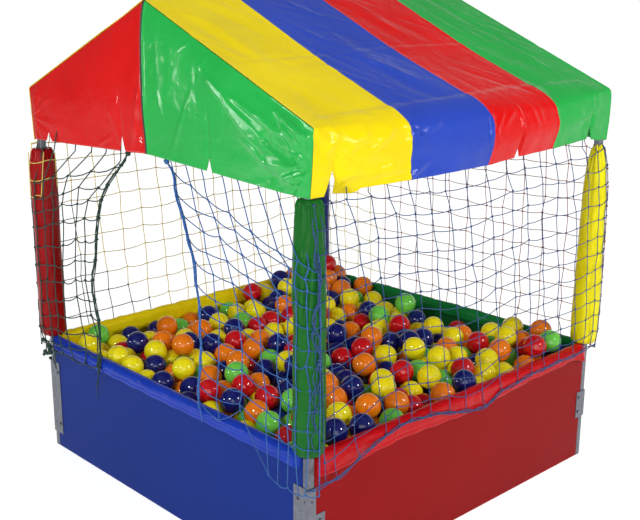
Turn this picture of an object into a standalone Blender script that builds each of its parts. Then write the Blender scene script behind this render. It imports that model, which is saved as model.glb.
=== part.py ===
"""Ball pit with padded panels, netted sides and a gabled canopy.

Metres, +Z up. The origin is the middle of the footprint, on the floor. The doorway
and the blue panel face -Y, the red panel faces +X, and the ridge runs along Y.
"""

import math

import bmesh
import bpy
from mathutils import Matrix, Vector

# Fits
GAP = 0.0003
OVERRUN = 0.004

# Square steel tube and its sockets
PIT_SIDE = 1.300
TUBE = 0.022
TUBE_WALL = 0.0015
TUBE_ROUND = 0.0025
SOCKET_WALL = 0.0025
SOCKET_REACH = 0.048
POST_SEAT = 0.042
RAIL_STEP = 0.018

# Canopy
RIDGE_HEIGHT = 1.543
EAVE_HEIGHT = 1.256
VALANCE_DROP = 0.166
CLOTH = 0.0015
SLOPE_SAG = 0.009
SIDE_BULGE = 0.045
GABLE_BULGE = 0.010
HEM_FOLD = 0.006
HEM_FOLD_LENGTH = 0.210
SIDE_NOTCH_WIDTH = 0.030
SIDE_NOTCH_HEIGHT = 0.036
GABLE_NOTCH_WIDTH = 0.026
GABLE_NOTCH_HEIGHT = 0.040
GABLE_HEM_LIFT = 0.024

# Panels, their padded rims and the floor
PANEL_HEIGHT = 0.398
PANEL_BOARD = 0.015
PANEL_EDGE = 0.002
RIM_RISE = 0.016
RIM_RADIUS = 0.022
GABLE_RIM_SKIRT = 0.046
SIDE_RIM_SKIRT = 0.070
MAT = 0.010

# Foam sleeves round the posts
SLEEVE_RADIUS = 0.0445
SLEEVE_TOP_DROP = 0.030

# Corner brackets
PLATE = 0.002
LONG_BRACKET_BOTTOM = 0.052
LONG_BRACKET_TOP = 0.318
LONG_PANEL_LEG = 0.057
LONG_POST_LEG = 0.028
LONG_BOLT_END = 0.038
SHORT_BRACKET_BOTTOM = 0.145
SHORT_BRACKET_TOP = 0.238
SHORT_LEG = 0.048
SHORT_PLATE_WIDTH = 0.033
SHORT_BOLT_END = 0.021
BOLT_EDGE = 0.014
BOLT_RADIUS = 0.0055
BOLT_HEAD = 0.0035
HOLE_RADIUS = 0.003

# Nets and the ropes along the doorway
TWINE = 0.004
NET_THICKNESS = 0.002
NET_DROP = 0.008
NET_OUT_DROP = 0.034
NET_FULL_DROP = 0.080
NET_BOTTOM = 0.376
NET_SWAG = 0.028
SLEEVE_EASE = 0.100
SLEEVE_SHOULDER = 0.005
EDGE_ROPE = 0.006
EDGE_ROPE_BOTTOM = 0.325
EDGE_KNOT = 0.016
KNOT_DROP = 0.012

# Balls
BALL = 0.076
FILL_DROP = 0.006
FILL_RISE = 0.030
FILL_BUMP = 0.030
FILL_UNEVEN = 0.008
FILL_SKIN = 0.004

# Forms, as shares of the size that each follows
SLEEVE_FORM_SHARES = (
    (0.000, 0.80), (0.025, 0.95), (0.070, 1.00), (0.400, 0.97),
    (0.700, 1.00), (0.920, 1.00), (0.970, 0.88), (1.000, 0.73),
)
SIDE_SKIRT_SHARES = (1.00, 0.97, 0.84, 0.92, 1.00, 0.88, 0.74, 0.68, 0.62)
GABLE_SKIRT_SHARES = (1.00, 0.96, 0.98, 1.00, 0.95, 0.98, 1.00)
LEFT_EDGE_SHARES = (
    (1.00, -0.13), (0.87, -0.19), (0.67, -0.33), (0.48, -0.42),
    (0.36, -0.49), (0.17, -0.48), (0.00, -0.475),
)
RIGHT_EDGE_SHARES = (
    (1.00, 0.04), (0.87, 0.08), (0.80, 0.16), (0.74, 0.22), (0.66, 0.25),
    (0.46, 0.34), (0.27, 0.35), (0.13, 0.32), (0.00, 0.31),
)
SIDE_NOTCH_SHARES = (-0.94, 0.20, 0.76)
GABLE_NOTCH_SHARES = (-0.81, -0.19, 0.43)
NET_HEM_SHARES = (
    (-1.00, -1.00), (-0.88, -1.00), (-0.70, 0.10), (-0.40, 1.00),
    (-0.20, 0.40), (0.00, -1.00), (0.12, -1.00), (0.25, 0.00), (1.00, 1.00),
)
KNOT_SHARES = ((1.0, 0.45), (0.4, 1.0), (-0.4, 1.0), (-1.0, 0.45))
LOOSE_BALL_SHARES = {
    "orange": (-0.42, -0.58),
    "yellow": (0.55, 0.20),
    "red": (-0.28, 0.30),
    "navy": (0.30, -0.42),
    "lime": (0.02, 0.70),
}

# Worked out from the sizes above
HALF = PIT_SIDE / 2
POST_AXIS = HALF - TUBE / 2
RIM_TOP = PANEL_HEIGHT + RIM_RISE
FILL_LEVEL = PANEL_HEIGHT - FILL_DROP
BORE_HALF = TUBE / 2 + GAP
SOCKET_HALF = BORE_HALF + SOCKET_WALL
ROOF_HALF = POST_AXIS + SOCKET_HALF + GAP + CLOTH
SLOPE = math.atan2(RIDGE_HEIGHT - EAVE_HEIGHT, ROOF_HALF)
VALANCE_BOTTOM = EAVE_HEIGHT - VALANCE_DROP


def roof_under(across, depth):
    """Height of the plane that lies this deep under the canopy's outside."""
    return RIDGE_HEIGHT - abs(across) * math.tan(SLOPE) - depth / math.cos(SLOPE)


SOCKET_TOP = roof_under(POST_AXIS + SOCKET_HALF, CLOTH + GAP)
SIDE_RAIL_Z = SOCKET_TOP - SOCKET_HALF
GABLE_RAIL_Z = SIDE_RAIL_Z - RAIL_STEP
POST_TOP = GABLE_RAIL_Z - SOCKET_HALF
RIDGE_BAR_Z = roof_under(SOCKET_HALF, CLOTH + 2 * GAP) - SOCKET_HALF
RAFTER_FOOT_Z = roof_under(POST_AXIS, CLOTH + GAP + SOCKET_HALF)
RAFTER_SPAN = POST_AXIS / math.cos(SLOPE)
TUBE_END = POST_AXIS - SOCKET_HALF - GAP
RIM_OUT = HALF - PANEL_BOARD / 2 + RIM_RADIUS
RIM_IN = HALF - PANEL_BOARD / 2 - RIM_RADIUS
SLEEVE_BOTTOM = RIM_TOP + GAP
SLEEVE_TOP = VALANCE_BOTTOM - SLEEVE_TOP_DROP
KNOT_Z = VALANCE_BOTTOM + KNOT_DROP

PALETTE = {
    "steel": ((0.60, 0.61, 0.62), 0.35, 0.9),
    "socket": ((0.09, 0.09, 0.10), 0.50, 0.0),
    "red": ((0.56, 0.02, 0.02), 0.35, 0.0),
    "green": ((0.02, 0.26, 0.05), 0.35, 0.0),
    "yellow": ((0.88, 0.66, 0.02), 0.35, 0.0),
    "blue": ((0.02, 0.07, 0.42), 0.35, 0.0),
    "navy": ((0.01, 0.02, 0.15), 0.30, 0.0),
    "orange": ((0.86, 0.24, 0.02), 0.30, 0.0),
    "lime": ((0.13, 0.60, 0.09), 0.30, 0.0),
    "mat": ((0.12, 0.13, 0.15), 0.60, 0.0),
    "net_green": ((0.01, 0.09, 0.06), 0.60, 0.0),
    "net_blue": ((0.03, 0.20, 0.55), 0.60, 0.0),
    "net_yellow": ((0.80, 0.50, 0.05), 0.60, 0.0),
    "net_red": ((0.50, 0.12, 0.05), 0.60, 0.0),
}

BALL_COLOURS = ("yellow", "orange", "red", "navy", "lime")


def clear_scene():
    for thing in list(bpy.data.objects):
        bpy.data.objects.remove(thing, do_unlink=True)


def paint(name):
    """The named material, made once."""
    material = bpy.data.materials.get(name)
    if material:
        return material
    colour, roughness, metallic = PALETTE[name]
    material = bpy.data.materials.new(name)
    material.use_nodes = True
    shader = material.node_tree.nodes["Principled BSDF"]
    shader.inputs["Base Color"].default_value = (*colour, 1.0)
    shader.inputs["Roughness"].default_value = roughness
    shader.inputs["Metallic"].default_value = metallic
    material.diffuse_color = (*colour, 1.0)
    return material


def place(name, mesh_data, colour, matrix=None):
    """Adds a named object with its material."""
    thing = bpy.data.objects.new(name, mesh_data)
    bpy.context.scene.collection.objects.link(thing)
    if colour:
        mesh_data.materials.append(paint(colour))
    if matrix is not None:
        thing.matrix_world = matrix
    return thing


def finish(bm, name):
    """Turns a closed bmesh into mesh data with its faces pointing out."""
    bmesh.ops.recalc_face_normals(bm, faces=bm.faces)
    mesh_data = bpy.data.meshes.new(name)
    bm.to_mesh(mesh_data)
    bm.free()
    return mesh_data


def smooth(mesh_data, degrees=40):
    mesh_data.shade_smooth()
    mesh_data.set_sharp_from_angle(angle=math.radians(degrees))


def side_turn(side):
    """Turns a piece made for the front round to side 0, 1, 2 or 3: front, right, back, left."""
    return Matrix.Rotation(side * math.pi / 2, 4, "Z")


def frame_at(origin, along, across):
    """A matrix with its X along the piece and its Y across it."""
    x_axis = Vector(along).normalized()
    y_axis = Vector(across).normalized()
    z_axis = x_axis.cross(y_axis)
    turn = Matrix((x_axis, y_axis, z_axis)).transposed().to_4x4()
    return Matrix.Translation(Vector(origin)) @ turn


def box_between(low, high, name):
    """Mesh data of a box with these corners."""
    bm = bmesh.new()
    bmesh.ops.create_cube(bm, size=1)
    size = [high[k] - low[k] for k in range(3)]
    centre = [(high[k] + low[k]) / 2 for k in range(3)]
    bmesh.ops.scale(bm, vec=size, verts=bm.verts)
    bmesh.ops.translate(bm, vec=centre, verts=bm.verts)
    return finish(bm, name)


def bar(name, matrix, start, stop, half, colour=None):
    """A square bar along the matrix's X."""
    mesh_data = box_between((start, -half, -half), (stop, half, half), name)
    return place(name, mesh_data, colour, matrix)


def combine(body, tools, operation):
    """Adds or cuts each tool with a Boolean, and hides the tool."""
    for tool in tools:
        boolean = body.modifiers.new(operation.lower(), "BOOLEAN")
        boolean.operation = operation
        boolean.solver = "EXACT"
        boolean.object = tool
        tool.hide_render = True
        tool.display_type = "WIRE"


def rounded_square(half, corner):
    """Corner points of a square with rounded corners, three to a corner."""
    points = []
    for quarter in range(4):
        for step in range(3):
            angle = math.pi / 2 * (quarter + step / 2)
            turn = math.pi / 2 * quarter + math.pi / 4
            middle = (half - corner) * math.sqrt(2)
            points.append((
                middle * math.cos(turn) + corner * math.cos(angle),
                middle * math.sin(turn) + corner * math.sin(angle),
            ))
    return points


def loft(rings, closed_ring=True, capped=False):
    """A bmesh through rings of points; the rings close on themselves unless capped."""
    bm = bmesh.new()
    loops = [[bm.verts.new(point) for point in ring] for ring in rings]
    count = len(loops[0])
    pairs = list(zip(loops, loops[1:]))
    if not capped:
        pairs.append((loops[-1], loops[0]))
    for near, far in pairs:
        for k in range(count if closed_ring else count - 1):
            after = (k + 1) % count
            bm.faces.new((near[k], near[after], far[after], far[k]))
    if capped:
        bm.faces.new(loops[0])
        bm.faces.new(loops[-1])
    return bm


def tube(name, matrix, start, stop):
    """Square steel tube along the matrix's X, open at both ends."""
    outer = rounded_square(TUBE / 2, TUBE_ROUND)
    inner = rounded_square(TUBE / 2 - TUBE_WALL, TUBE_ROUND - TUBE_WALL)
    rings = [
        [(start, y, z) for y, z in outer],
        [(stop, y, z) for y, z in outer],
        [(stop, y, z) for y, z in inner],
        [(start, y, z) for y, z in inner],
    ]
    mesh_data = finish(loft(rings), name)
    smooth(mesh_data)
    return place(name, mesh_data, "steel", matrix)


def upright(x, y):
    return frame_at((x, y, 0), (0, 0, 1), (0, 1, 0))


def rafter_frame(x_sign, y_sign):
    """From the rafter's foot over the post's axis, up the slope."""
    foot = (x_sign * POST_AXIS, y_sign * POST_AXIS, RAFTER_FOOT_Z)
    return frame_at(foot, (-x_sign * math.cos(SLOPE), 0, math.sin(SLOPE)), (0, 1, 0))


def gable_rail_frame(y_sign):
    return frame_at((0, y_sign * POST_AXIS, GABLE_RAIL_Z), (1, 0, 0), (0, 1, 0))


def side_rail_frame(x_sign):
    return frame_at((x_sign * POST_AXIS, 0, SIDE_RAIL_Z), (0, 1, 0), (1, 0, 0))


def ridge_frame():
    return frame_at((0, 0, RIDGE_BAR_Z), (0, 1, 0), (1, 0, 0))


CORNERS = (
    ("front_left", -1, -1), ("front_right", 1, -1),
    ("back_right", 1, 1), ("back_left", -1, 1),
)


def posts():
    for name, x_sign, y_sign in CORNERS:
        tube("post_" + name, upright(x_sign * POST_AXIS, y_sign * POST_AXIS), 0, POST_TOP)


def roof_frame():
    for name, y_sign in (("front", -1), ("back", 1)):
        tube("rail_" + name, gable_rail_frame(y_sign), -TUBE_END, TUBE_END)
    for name, x_sign in (("left", -1), ("right", 1)):
        tube("rail_" + name, side_rail_frame(x_sign), -TUBE_END, TUBE_END)
    start = SOCKET_HALF + GAP
    for name, x_sign, y_sign in CORNERS:
        tube("rafter_" + name, rafter_frame(x_sign, y_sign), start, RAFTER_SPAN - start)
    tube("ridge_bar", ridge_frame(), -TUBE_END, TUBE_END)


def socket_arms(name, arms):
    """Outer arms and the cutters of their bores, one for each tube end."""
    outside = []
    bores = []
    for k, (matrix, start) in enumerate(arms):
        outside.append(bar(f"{name}_arm_{k}", matrix, start, SOCKET_REACH, SOCKET_HALF))
        bores.append(bar(f"{name}_bore_{k}", matrix, SOCKET_HALF, SOCKET_REACH + OVERRUN, BORE_HALF))
    return outside, bores


def corner_socket(name, x_sign, y_sign):
    """Plugs a post, two rails and a rafter together."""
    x_post = x_sign * POST_AXIS
    y_post = y_sign * POST_AXIS
    column = upright(x_post, y_post)
    body = bar(name, column, POST_TOP - POST_SEAT, SOCKET_TOP, SOCKET_HALF, "socket")
    bore_start = POST_TOP - POST_SEAT - OVERRUN
    post_bore = bar(name + "_post_bore", column, bore_start, POST_TOP + GAP, BORE_HALF)
    inward_x = frame_at((x_post, y_post, GABLE_RAIL_Z), (-x_sign, 0, 0), (0, 1, 0))
    inward_y = frame_at((x_post, y_post, SIDE_RAIL_Z), (0, -y_sign, 0), (1, 0, 0))
    arms = ((inward_x, 0), (inward_y, 0), (rafter_frame(x_sign, y_sign), 0))
    outside, bores = socket_arms(name, arms)
    combine(body, outside, "UNION")
    combine(body, [post_bore] + bores, "DIFFERENCE")


def peak_socket(name, y_sign):
    """Joins two rafters and the ridge bar."""
    meet = SOCKET_HALF * math.tan(SLOPE)
    y_end = y_sign * POST_AXIS
    reach = RAFTER_SPAN - SOCKET_REACH
    left = rafter_frame(-1, y_sign)
    right = rafter_frame(1, y_sign)
    body = bar(name, left, reach, RAFTER_SPAN + meet, SOCKET_HALF, "socket")
    other = bar(name + "_arm", right, reach, RAFTER_SPAN + meet, SOCKET_HALF)
    ridge = frame_at((0, y_end, RIDGE_BAR_Z), (0, -y_sign, 0), (1, 0, 0))
    outside, bores = socket_arms(name, ((ridge, -SOCKET_HALF),))
    for k, matrix in enumerate((left, right)):
        stop = RAFTER_SPAN - SOCKET_HALF
        bores.append(bar(f"{name}_rafter_bore_{k}", matrix, reach - OVERRUN, stop, BORE_HALF))
    combine(body, [other] + outside, "UNION")
    combine(body, bores, "DIFFERENCE")


def sockets():
    for name, x_sign, y_sign in CORNERS:
        corner_socket("socket_" + name, x_sign, y_sign)
    for name, y_sign in (("front", -1), ("back", 1)):
        peak_socket("peak_socket_" + name, y_sign)


def panel(name, side, colour):
    """A board that stands on the floor between two posts."""
    end = HALF - TUBE - GAP
    mesh_data = box_between((-end, -HALF, 0), (end, PANEL_BOARD - HALF, PANEL_HEIGHT), name)
    board = place(name, mesh_data, colour, side_turn(side))
    edge = board.modifiers.new("edge", "BEVEL")
    edge.width = PANEL_EDGE
    edge.segments = 2
    edge.limit_method = "ANGLE"


def rim_section(x, skirt, inner_skirt):
    """One ring round a padded rim that straddles the board, seen along X."""
    middle = PANEL_BOARD / 2 - HALF
    slot = PANEL_BOARD / 2 + GAP
    arc_z = RIM_TOP - RIM_RADIUS
    ring = [(x, middle - RIM_RADIUS, RIM_TOP - skirt)]
    for step in range(9):
        angle = math.pi * step / 8
        ring.append((x, middle - RIM_RADIUS * math.cos(angle), arc_z + RIM_RADIUS * math.sin(angle)))
    ring += [
        (x, middle + RIM_RADIUS, RIM_TOP - inner_skirt),
        (x, middle + slot, RIM_TOP - inner_skirt),
        (x, middle + slot, PANEL_HEIGHT + GAP),
        (x, middle - slot, PANEL_HEIGHT + GAP),
        (x, middle - slot, RIM_TOP - skirt),
    ]
    return ring


def rim(name, side, colour, skirt, form_shares):
    """Padding with a wavy outer skirt over a panel's top edge."""
    end = RIM_IN - GAP
    rings = []
    last = len(form_shares) - 1
    for k, form_share in enumerate(form_shares):
        x = end * (2 * k / last - 1)
        rings.append(rim_section(x, skirt * form_share, skirt))
    mesh_data = finish(loft(rings, capped=True), name)
    smooth(mesh_data)
    place(name, mesh_data, colour, side_turn(side))


def walls():
    panel("panel_front", 0, "blue")
    panel("panel_right", 1, "red")
    panel("panel_back", 2, "green")
    panel("panel_left", 3, "yellow")
    rim("rim_front", 0, "blue", GABLE_RIM_SKIRT, GABLE_SKIRT_SHARES)
    rim("rim_right", 1, "red", SIDE_RIM_SKIRT, SIDE_SKIRT_SHARES)
    rim("rim_back", 2, "green", GABLE_RIM_SKIRT, GABLE_SKIRT_SHARES)
    rim("rim_left", 3, "yellow", SIDE_RIM_SKIRT, SIDE_SKIRT_SHARES[::-1])
    half = HALF - TUBE - GAP
    place("floor_mat", box_between((-half, -half, 0), (half, half, MAT), "floor_mat"), "mat")


def square_ring(half, count):
    """Points round a square, one for each of count equal angles."""
    points = []
    for k in range(count):
        angle = 2 * math.pi * k / count
        reach = half / max(abs(math.cos(angle)), abs(math.sin(angle)))
        points.append((reach * math.cos(angle), reach * math.sin(angle)))
    return points


def sleeve(name, x_sign, y_sign, colour):
    """A foam tube gathered in at both ends, threaded over a post."""
    count = 16
    height = SLEEVE_TOP - SLEEVE_BOTTOM
    rings = []
    for height_share, radius_share in SLEEVE_FORM_SHARES:
        radius = SLEEVE_RADIUS * radius_share
        rings.append([(
            radius * math.cos(2 * math.pi * k / count),
            radius * math.sin(2 * math.pi * k / count),
            SLEEVE_BOTTOM + height * height_share,
        ) for k in range(count)])
    bore = square_ring(BORE_HALF, count)
    rings.append([(x, y, SLEEVE_TOP) for x, y in bore])
    rings.append([(x, y, SLEEVE_BOTTOM) for x, y in bore])
    mesh_data = finish(loft(rings), name)
    smooth(mesh_data)
    place(name, mesh_data, colour, Matrix.Translation((x_sign * POST_AXIS, y_sign * POST_AXIS, 0)))


def sleeves():
    colours = ("red", "green", "yellow", "navy")
    for (name, x_sign, y_sign), colour in zip(CORNERS, colours):
        sleeve("sleeve_" + name, x_sign, y_sign, colour)


def outline_prism(name, outline, bottom, top, colour):
    """A closed outline in X and Y, raised from bottom to top."""
    rings = [[(x, y, z) for x, y in outline] for z in (bottom, top)]
    return place(name, finish(loft(rings, capped=True), name), colour)


def disc(name, centre, axis, radius, start, stop):
    """A round bar along axis, from start to stop past centre."""
    bm = bmesh.new()
    bmesh.ops.create_cone(
        bm, cap_ends=True, segments=12, radius1=radius, radius2=radius, depth=stop - start)
    bmesh.ops.translate(bm, vec=(0, 0, (start + stop) / 2), verts=bm.verts)
    turn = Vector((0, 0, 1)).rotation_difference(Vector(axis)).to_matrix().to_4x4()
    return place(name, finish(bm, name), None, Matrix.Translation(Vector(centre)) @ turn)


def bolt_up(plate, spots, holes):
    """Adds bolt heads and cuts bolt holes. Each spot is a point on the plate's inner face."""
    heads = []
    top = PLATE + BOLT_HEAD
    for k, (spot, axis) in enumerate(spots):
        heads.append(disc(f"{plate.name}_bolt_{k}", spot, axis, BOLT_RADIUS, PLATE / 2, top))
    cuts = []
    for k, (spot, axis) in enumerate(holes):
        cuts.append(disc(f"{plate.name}_hole_{k}", spot, axis, HOLE_RADIUS, -OVERRUN, PLATE + OVERRUN))
    combine(plate, heads, "UNION")
    combine(plate, cuts, "DIFFERENCE")


def angle_outline(x_sign, y_sign, x_leg, y_leg):
    """An angle plate round the outside of a corner, its legs measured from the corner."""
    inner = HALF + GAP
    outer = inner + PLATE
    points = (
        (outer - x_leg, outer), (outer, outer), (outer, outer - y_leg),
        (inner, outer - y_leg), (inner, inner), (outer - x_leg, inner),
    )
    return [(x_sign * x, y_sign * y) for x, y in points]


def long_bracket(name, x_sign):
    """Angle plate that ties the front panel to a front post."""
    outline = angle_outline(x_sign, -1, LONG_PANEL_LEG, LONG_POST_LEG)
    plate = outline_prism(name, outline, LONG_BRACKET_BOTTOM, LONG_BRACKET_TOP, "steel")
    face = HALF + GAP
    panel_x = x_sign * (face + PLATE - LONG_PANEL_LEG + BOLT_EDGE)
    post_x = x_sign * POST_AXIS
    heights = (LONG_BRACKET_BOTTOM + LONG_BOLT_END, LONG_BRACKET_TOP - LONG_BOLT_END)
    spots = [((panel_x, -face, z), (0, -1, 0)) for z in heights]
    holes = [((post_x, -face, z), (0, -1, 0)) for z in heights]
    holes += [((x_sign * face, -POST_AXIS, z), (x_sign, 0, 0)) for z in heights]
    bolt_up(plate, spots, holes)


def short_plate(name, x_sign):
    """Flat plate beside a long bracket, bolted to the side panel."""
    face = HALF + GAP
    front = face + PLATE - LONG_POST_LEG - GAP
    low, high = sorted((x_sign * face, x_sign * (face + PLATE)))
    outline = (
        (low, -front), (high, -front),
        (high, SHORT_PLATE_WIDTH - front), (low, SHORT_PLATE_WIDTH - front),
    )
    plate = outline_prism(name, outline, SHORT_BRACKET_BOTTOM, SHORT_BRACKET_TOP, "steel")
    y = SHORT_PLATE_WIDTH / 2 - front
    heights = (SHORT_BRACKET_BOTTOM + SHORT_BOLT_END, SHORT_BRACKET_TOP - SHORT_BOLT_END)
    spots = [((x_sign * face, y, z), (x_sign, 0, 0)) for z in heights]
    bolt_up(plate, spots, [])


def short_bracket(name, x_sign):
    """Angle plate round a back post, bolted to the side and back panels."""
    outline = angle_outline(x_sign, 1, SHORT_LEG, SHORT_LEG)
    plate = outline_prism(name, outline, SHORT_BRACKET_BOTTOM, SHORT_BRACKET_TOP, "steel")
    face = HALF + GAP
    bolt_line = face + PLATE - SHORT_LEG + BOLT_EDGE
    heights = (SHORT_BRACKET_BOTTOM + SHORT_BOLT_END, SHORT_BRACKET_TOP - SHORT_BOLT_END)
    spots = [((x_sign * face, bolt_line, z), (x_sign, 0, 0)) for z in heights]
    spots += [((x_sign * bolt_line, face, z), (0, 1, 0)) for z in heights]
    bolt_up(plate, spots, [])


def brackets():
    for name, x_sign in (("left", -1), ("right", 1)):
        long_bracket("long_bracket_" + name, x_sign)
        short_plate("short_plate_" + name, x_sign)
        short_bracket("short_bracket_" + name, x_sign)


def sheet(name, outer, inner, colour):
    """A thin closed sheet between two grids of points with the same rows and columns."""
    bm = bmesh.new()
    grids = [[[bm.verts.new(p) for p in row] for row in grid] for grid in (outer, inner)]
    rows = len(outer) - 1
    columns = len(outer[0]) - 1
    for grid in grids:
        for i in range(rows):
            for j in range(columns):
                bm.faces.new((grid[i][j], grid[i][j + 1], grid[i + 1][j + 1], grid[i + 1][j]))
    edge = [(0, j) for j in range(columns)]
    edge += [(i, columns) for i in range(rows)]
    edge += [(rows, j) for j in range(columns, 0, -1)]
    edge += [(i, 0) for i in range(rows, 0, -1)]
    for (i, j), (m, n) in zip(edge, edge[1:] + edge[:1]):
        bm.faces.new((grids[0][i][j], grids[0][m][n], grids[1][m][n], grids[1][i][j]))
    mesh_data = finish(bm, name)
    smooth(mesh_data, 30)
    place(name, mesh_data, colour)


def columns_with_notches(start, stop, parts, notches, width):
    """Even places from start to stop, with three more at each notch between them."""
    places = [start + (stop - start) * k / parts for k in range(parts + 1)]
    for notch in notches:
        if start < notch - width / 2 and notch + width / 2 < stop:
            places = [p for p in places if abs(p - notch) > width or p in (start, stop)]
            places += [notch - width / 2, notch, notch + width / 2]
    return sorted(places)


def notch_rise(place_on_hem, notches, height):
    return height if any(abs(place_on_hem - notch) < GAP for notch in notches) else 0


def hem_push(along, drop_share, bulge):
    """How far the valance stands out: a belly half way down and soft folds at the hem."""
    corner = 1 - abs(along / ROOF_HALF) ** 2.2
    fold = (1 + math.sin(2 * math.pi * along / HEM_FOLD_LENGTH)) / 2
    belly = bulge * math.sin(math.pi * drop_share ** 0.85 * 0.86)
    return max(0, corner) * (belly + HEM_FOLD * fold * drop_share ** 2)


def slope_dip(across_share, y):
    """How far the cloth dips between the ridge, the rafters and the side rails."""
    free = POST_AXIS - SOCKET_REACH - SOCKET_HALF
    if abs(y) >= free:
        return 0
    return SLOPE_SAG * math.sin(math.pi * across_share) ** 2 * (1 - (y / free) ** 2) ** 2


SLOPE_SHARES = (0.0, 0.25, 0.5, 0.75)
VALANCE_SHARES = (0.0, 0.2, 0.45, 0.7, 1.0)


def stripe_half(x_sign, y, inner):
    """Points from the ridge down one slope and its valance, outside or inside."""
    notches = [share * ROOF_HALF for share in SIDE_NOTCH_SHARES]
    depth = CLOTH if inner else 0
    points = []
    for share in SLOPE_SHARES:
        x = share * ROOF_HALF
        points.append((x_sign * x, y, roof_under(x, depth) - slope_dip(share, y)))
    hem = VALANCE_BOTTOM + notch_rise(y, notches, SIDE_NOTCH_HEIGHT)
    top = roof_under(ROOF_HALF - depth, depth)
    for share in VALANCE_SHARES:
        out = ROOF_HALF - depth + hem_push(y, share, SIDE_BULGE)
        points.append((x_sign * out, y, top + (hem - top) * share))
    return points


def stripe(name, index, colour):
    """One canopy stripe from hem to hem over the ridge."""
    width = 2 * ROOF_HALF / 4
    start = -ROOF_HALF + index * width + (GAP / 2 if index else 0)
    stop = -ROOF_HALF + (index + 1) * width - (GAP / 2 if index < 3 else 0)
    notches = [share * ROOF_HALF for share in SIDE_NOTCH_SHARES]
    places = columns_with_notches(start, stop, 4, notches, SIDE_NOTCH_WIDTH)
    grids = []
    for inner in (False, True):
        grid = []
        for y in places:
            left = stripe_half(-1, y, inner)
            right = stripe_half(1, y, inner)
            grid.append(left[:0:-1] + right)
        grids.append(grid)
    sheet(name, grids[0], grids[1], colour)


def gable_half(name, x_sign, y_sign, colour):
    """Half of a gable with its valance."""
    edge = ROOF_HALF - CLOTH - GAP
    notches = [share * ROOF_HALF for share in GABLE_NOTCH_SHARES]
    low, high = sorted((x_sign * GAP / 2, x_sign * edge))
    places = columns_with_notches(low, high, 5, notches, GABLE_NOTCH_WIDTH)
    grids = []
    for depth in (0, CLOTH):
        grid = []
        for x in places:
            lift = GABLE_HEM_LIFT * (1 - (x / ROOF_HALF) ** 2)
            hem = VALANCE_BOTTOM + lift + notch_rise(x, notches, GABLE_NOTCH_HEIGHT)
            top = roof_under(x, CLOTH + GAP)
            column = []
            for step in range(7):
                z = hem + (top - hem) * step / 6
                drop_share = max(0, (EAVE_HEIGHT - z) / VALANCE_DROP)
                out = ROOF_HALF - depth + hem_push(x, min(1, drop_share), GABLE_BULGE)
                column.append((x, y_sign * out, z))
            grid.append(column)
        grids.append(grid)
    sheet(name, grids[0], grids[1], colour)


def canopy():
    for index, colour in enumerate(("yellow", "blue", "red", "green")):
        stripe("canopy_stripe_" + colour, index, colour)
    for end, y_sign in (("front", -1), ("back", 1)):
        gable_half(f"gable_{end}_left", -1, y_sign, "red")
        gable_half(f"gable_{end}_right", 1, y_sign, "green")


def blend_between(x, start, stop):
    share = min(1, max(0, (x - start) / (stop - start)))
    return share * share * (3 - 2 * share)


def between(x, points):
    """Reads straight runs through points given from the lowest x up."""
    if x <= points[0][0]:
        return points[0][1]
    for (x0, y0), (x1, y1) in zip(points, points[1:]):
        if x <= x1:
            return y0 + (y1 - y0) * (x - x0) / (x1 - x0)
    return points[-1][1]


NET_TUCK_Z = VALANCE_BOTTOM - NET_DROP
NET_OUT_Z = VALANCE_BOTTOM - NET_OUT_DROP
NET_FULL_Z = VALANCE_BOTTOM - NET_FULL_DROP
NET_END = HALF - TUBE / 4


def net_depth(u, z):
    """How far out the net's inner face lies: behind the valance, then outside rims and sleeves."""
    tuck = HALF + GAP
    on_rim = RIM_OUT + GAP
    on_sleeve = POST_AXIS + SLEEVE_RADIUS + GAP
    shoulder = on_sleeve - SLEEVE_SHOULDER
    middle = between(z, ((NET_FULL_Z, on_rim), (NET_TUCK_Z, tuck)))
    by_post = between(z, ((NET_FULL_Z, on_sleeve), (NET_OUT_Z, shoulder), (NET_TUCK_Z, tuck)))
    full = POST_AXIS - SLEEVE_RADIUS - SLEEVE_EASE
    return middle + (by_post - middle) * blend_between(abs(u), full - SLEEVE_EASE, full)


def net_levels(top):
    """Heights of the edges of the net's rows, from the bottom up, and what lies above each."""
    parts = 5
    levels = [(NET_BOTTOM + (NET_FULL_Z - NET_BOTTOM) * k / parts, True) for k in range(parts + 1)]
    levels += [(NET_OUT_Z, False), (NET_TUCK_Z, True), (top, True)]
    fine = []
    for z, is_cord in levels:
        if is_cord:
            fine += [(z - TWINE / 2, "under"), (z + TWINE / 2, "over")]
        else:
            fine.append((z, "bare"))
    return fine


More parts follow.
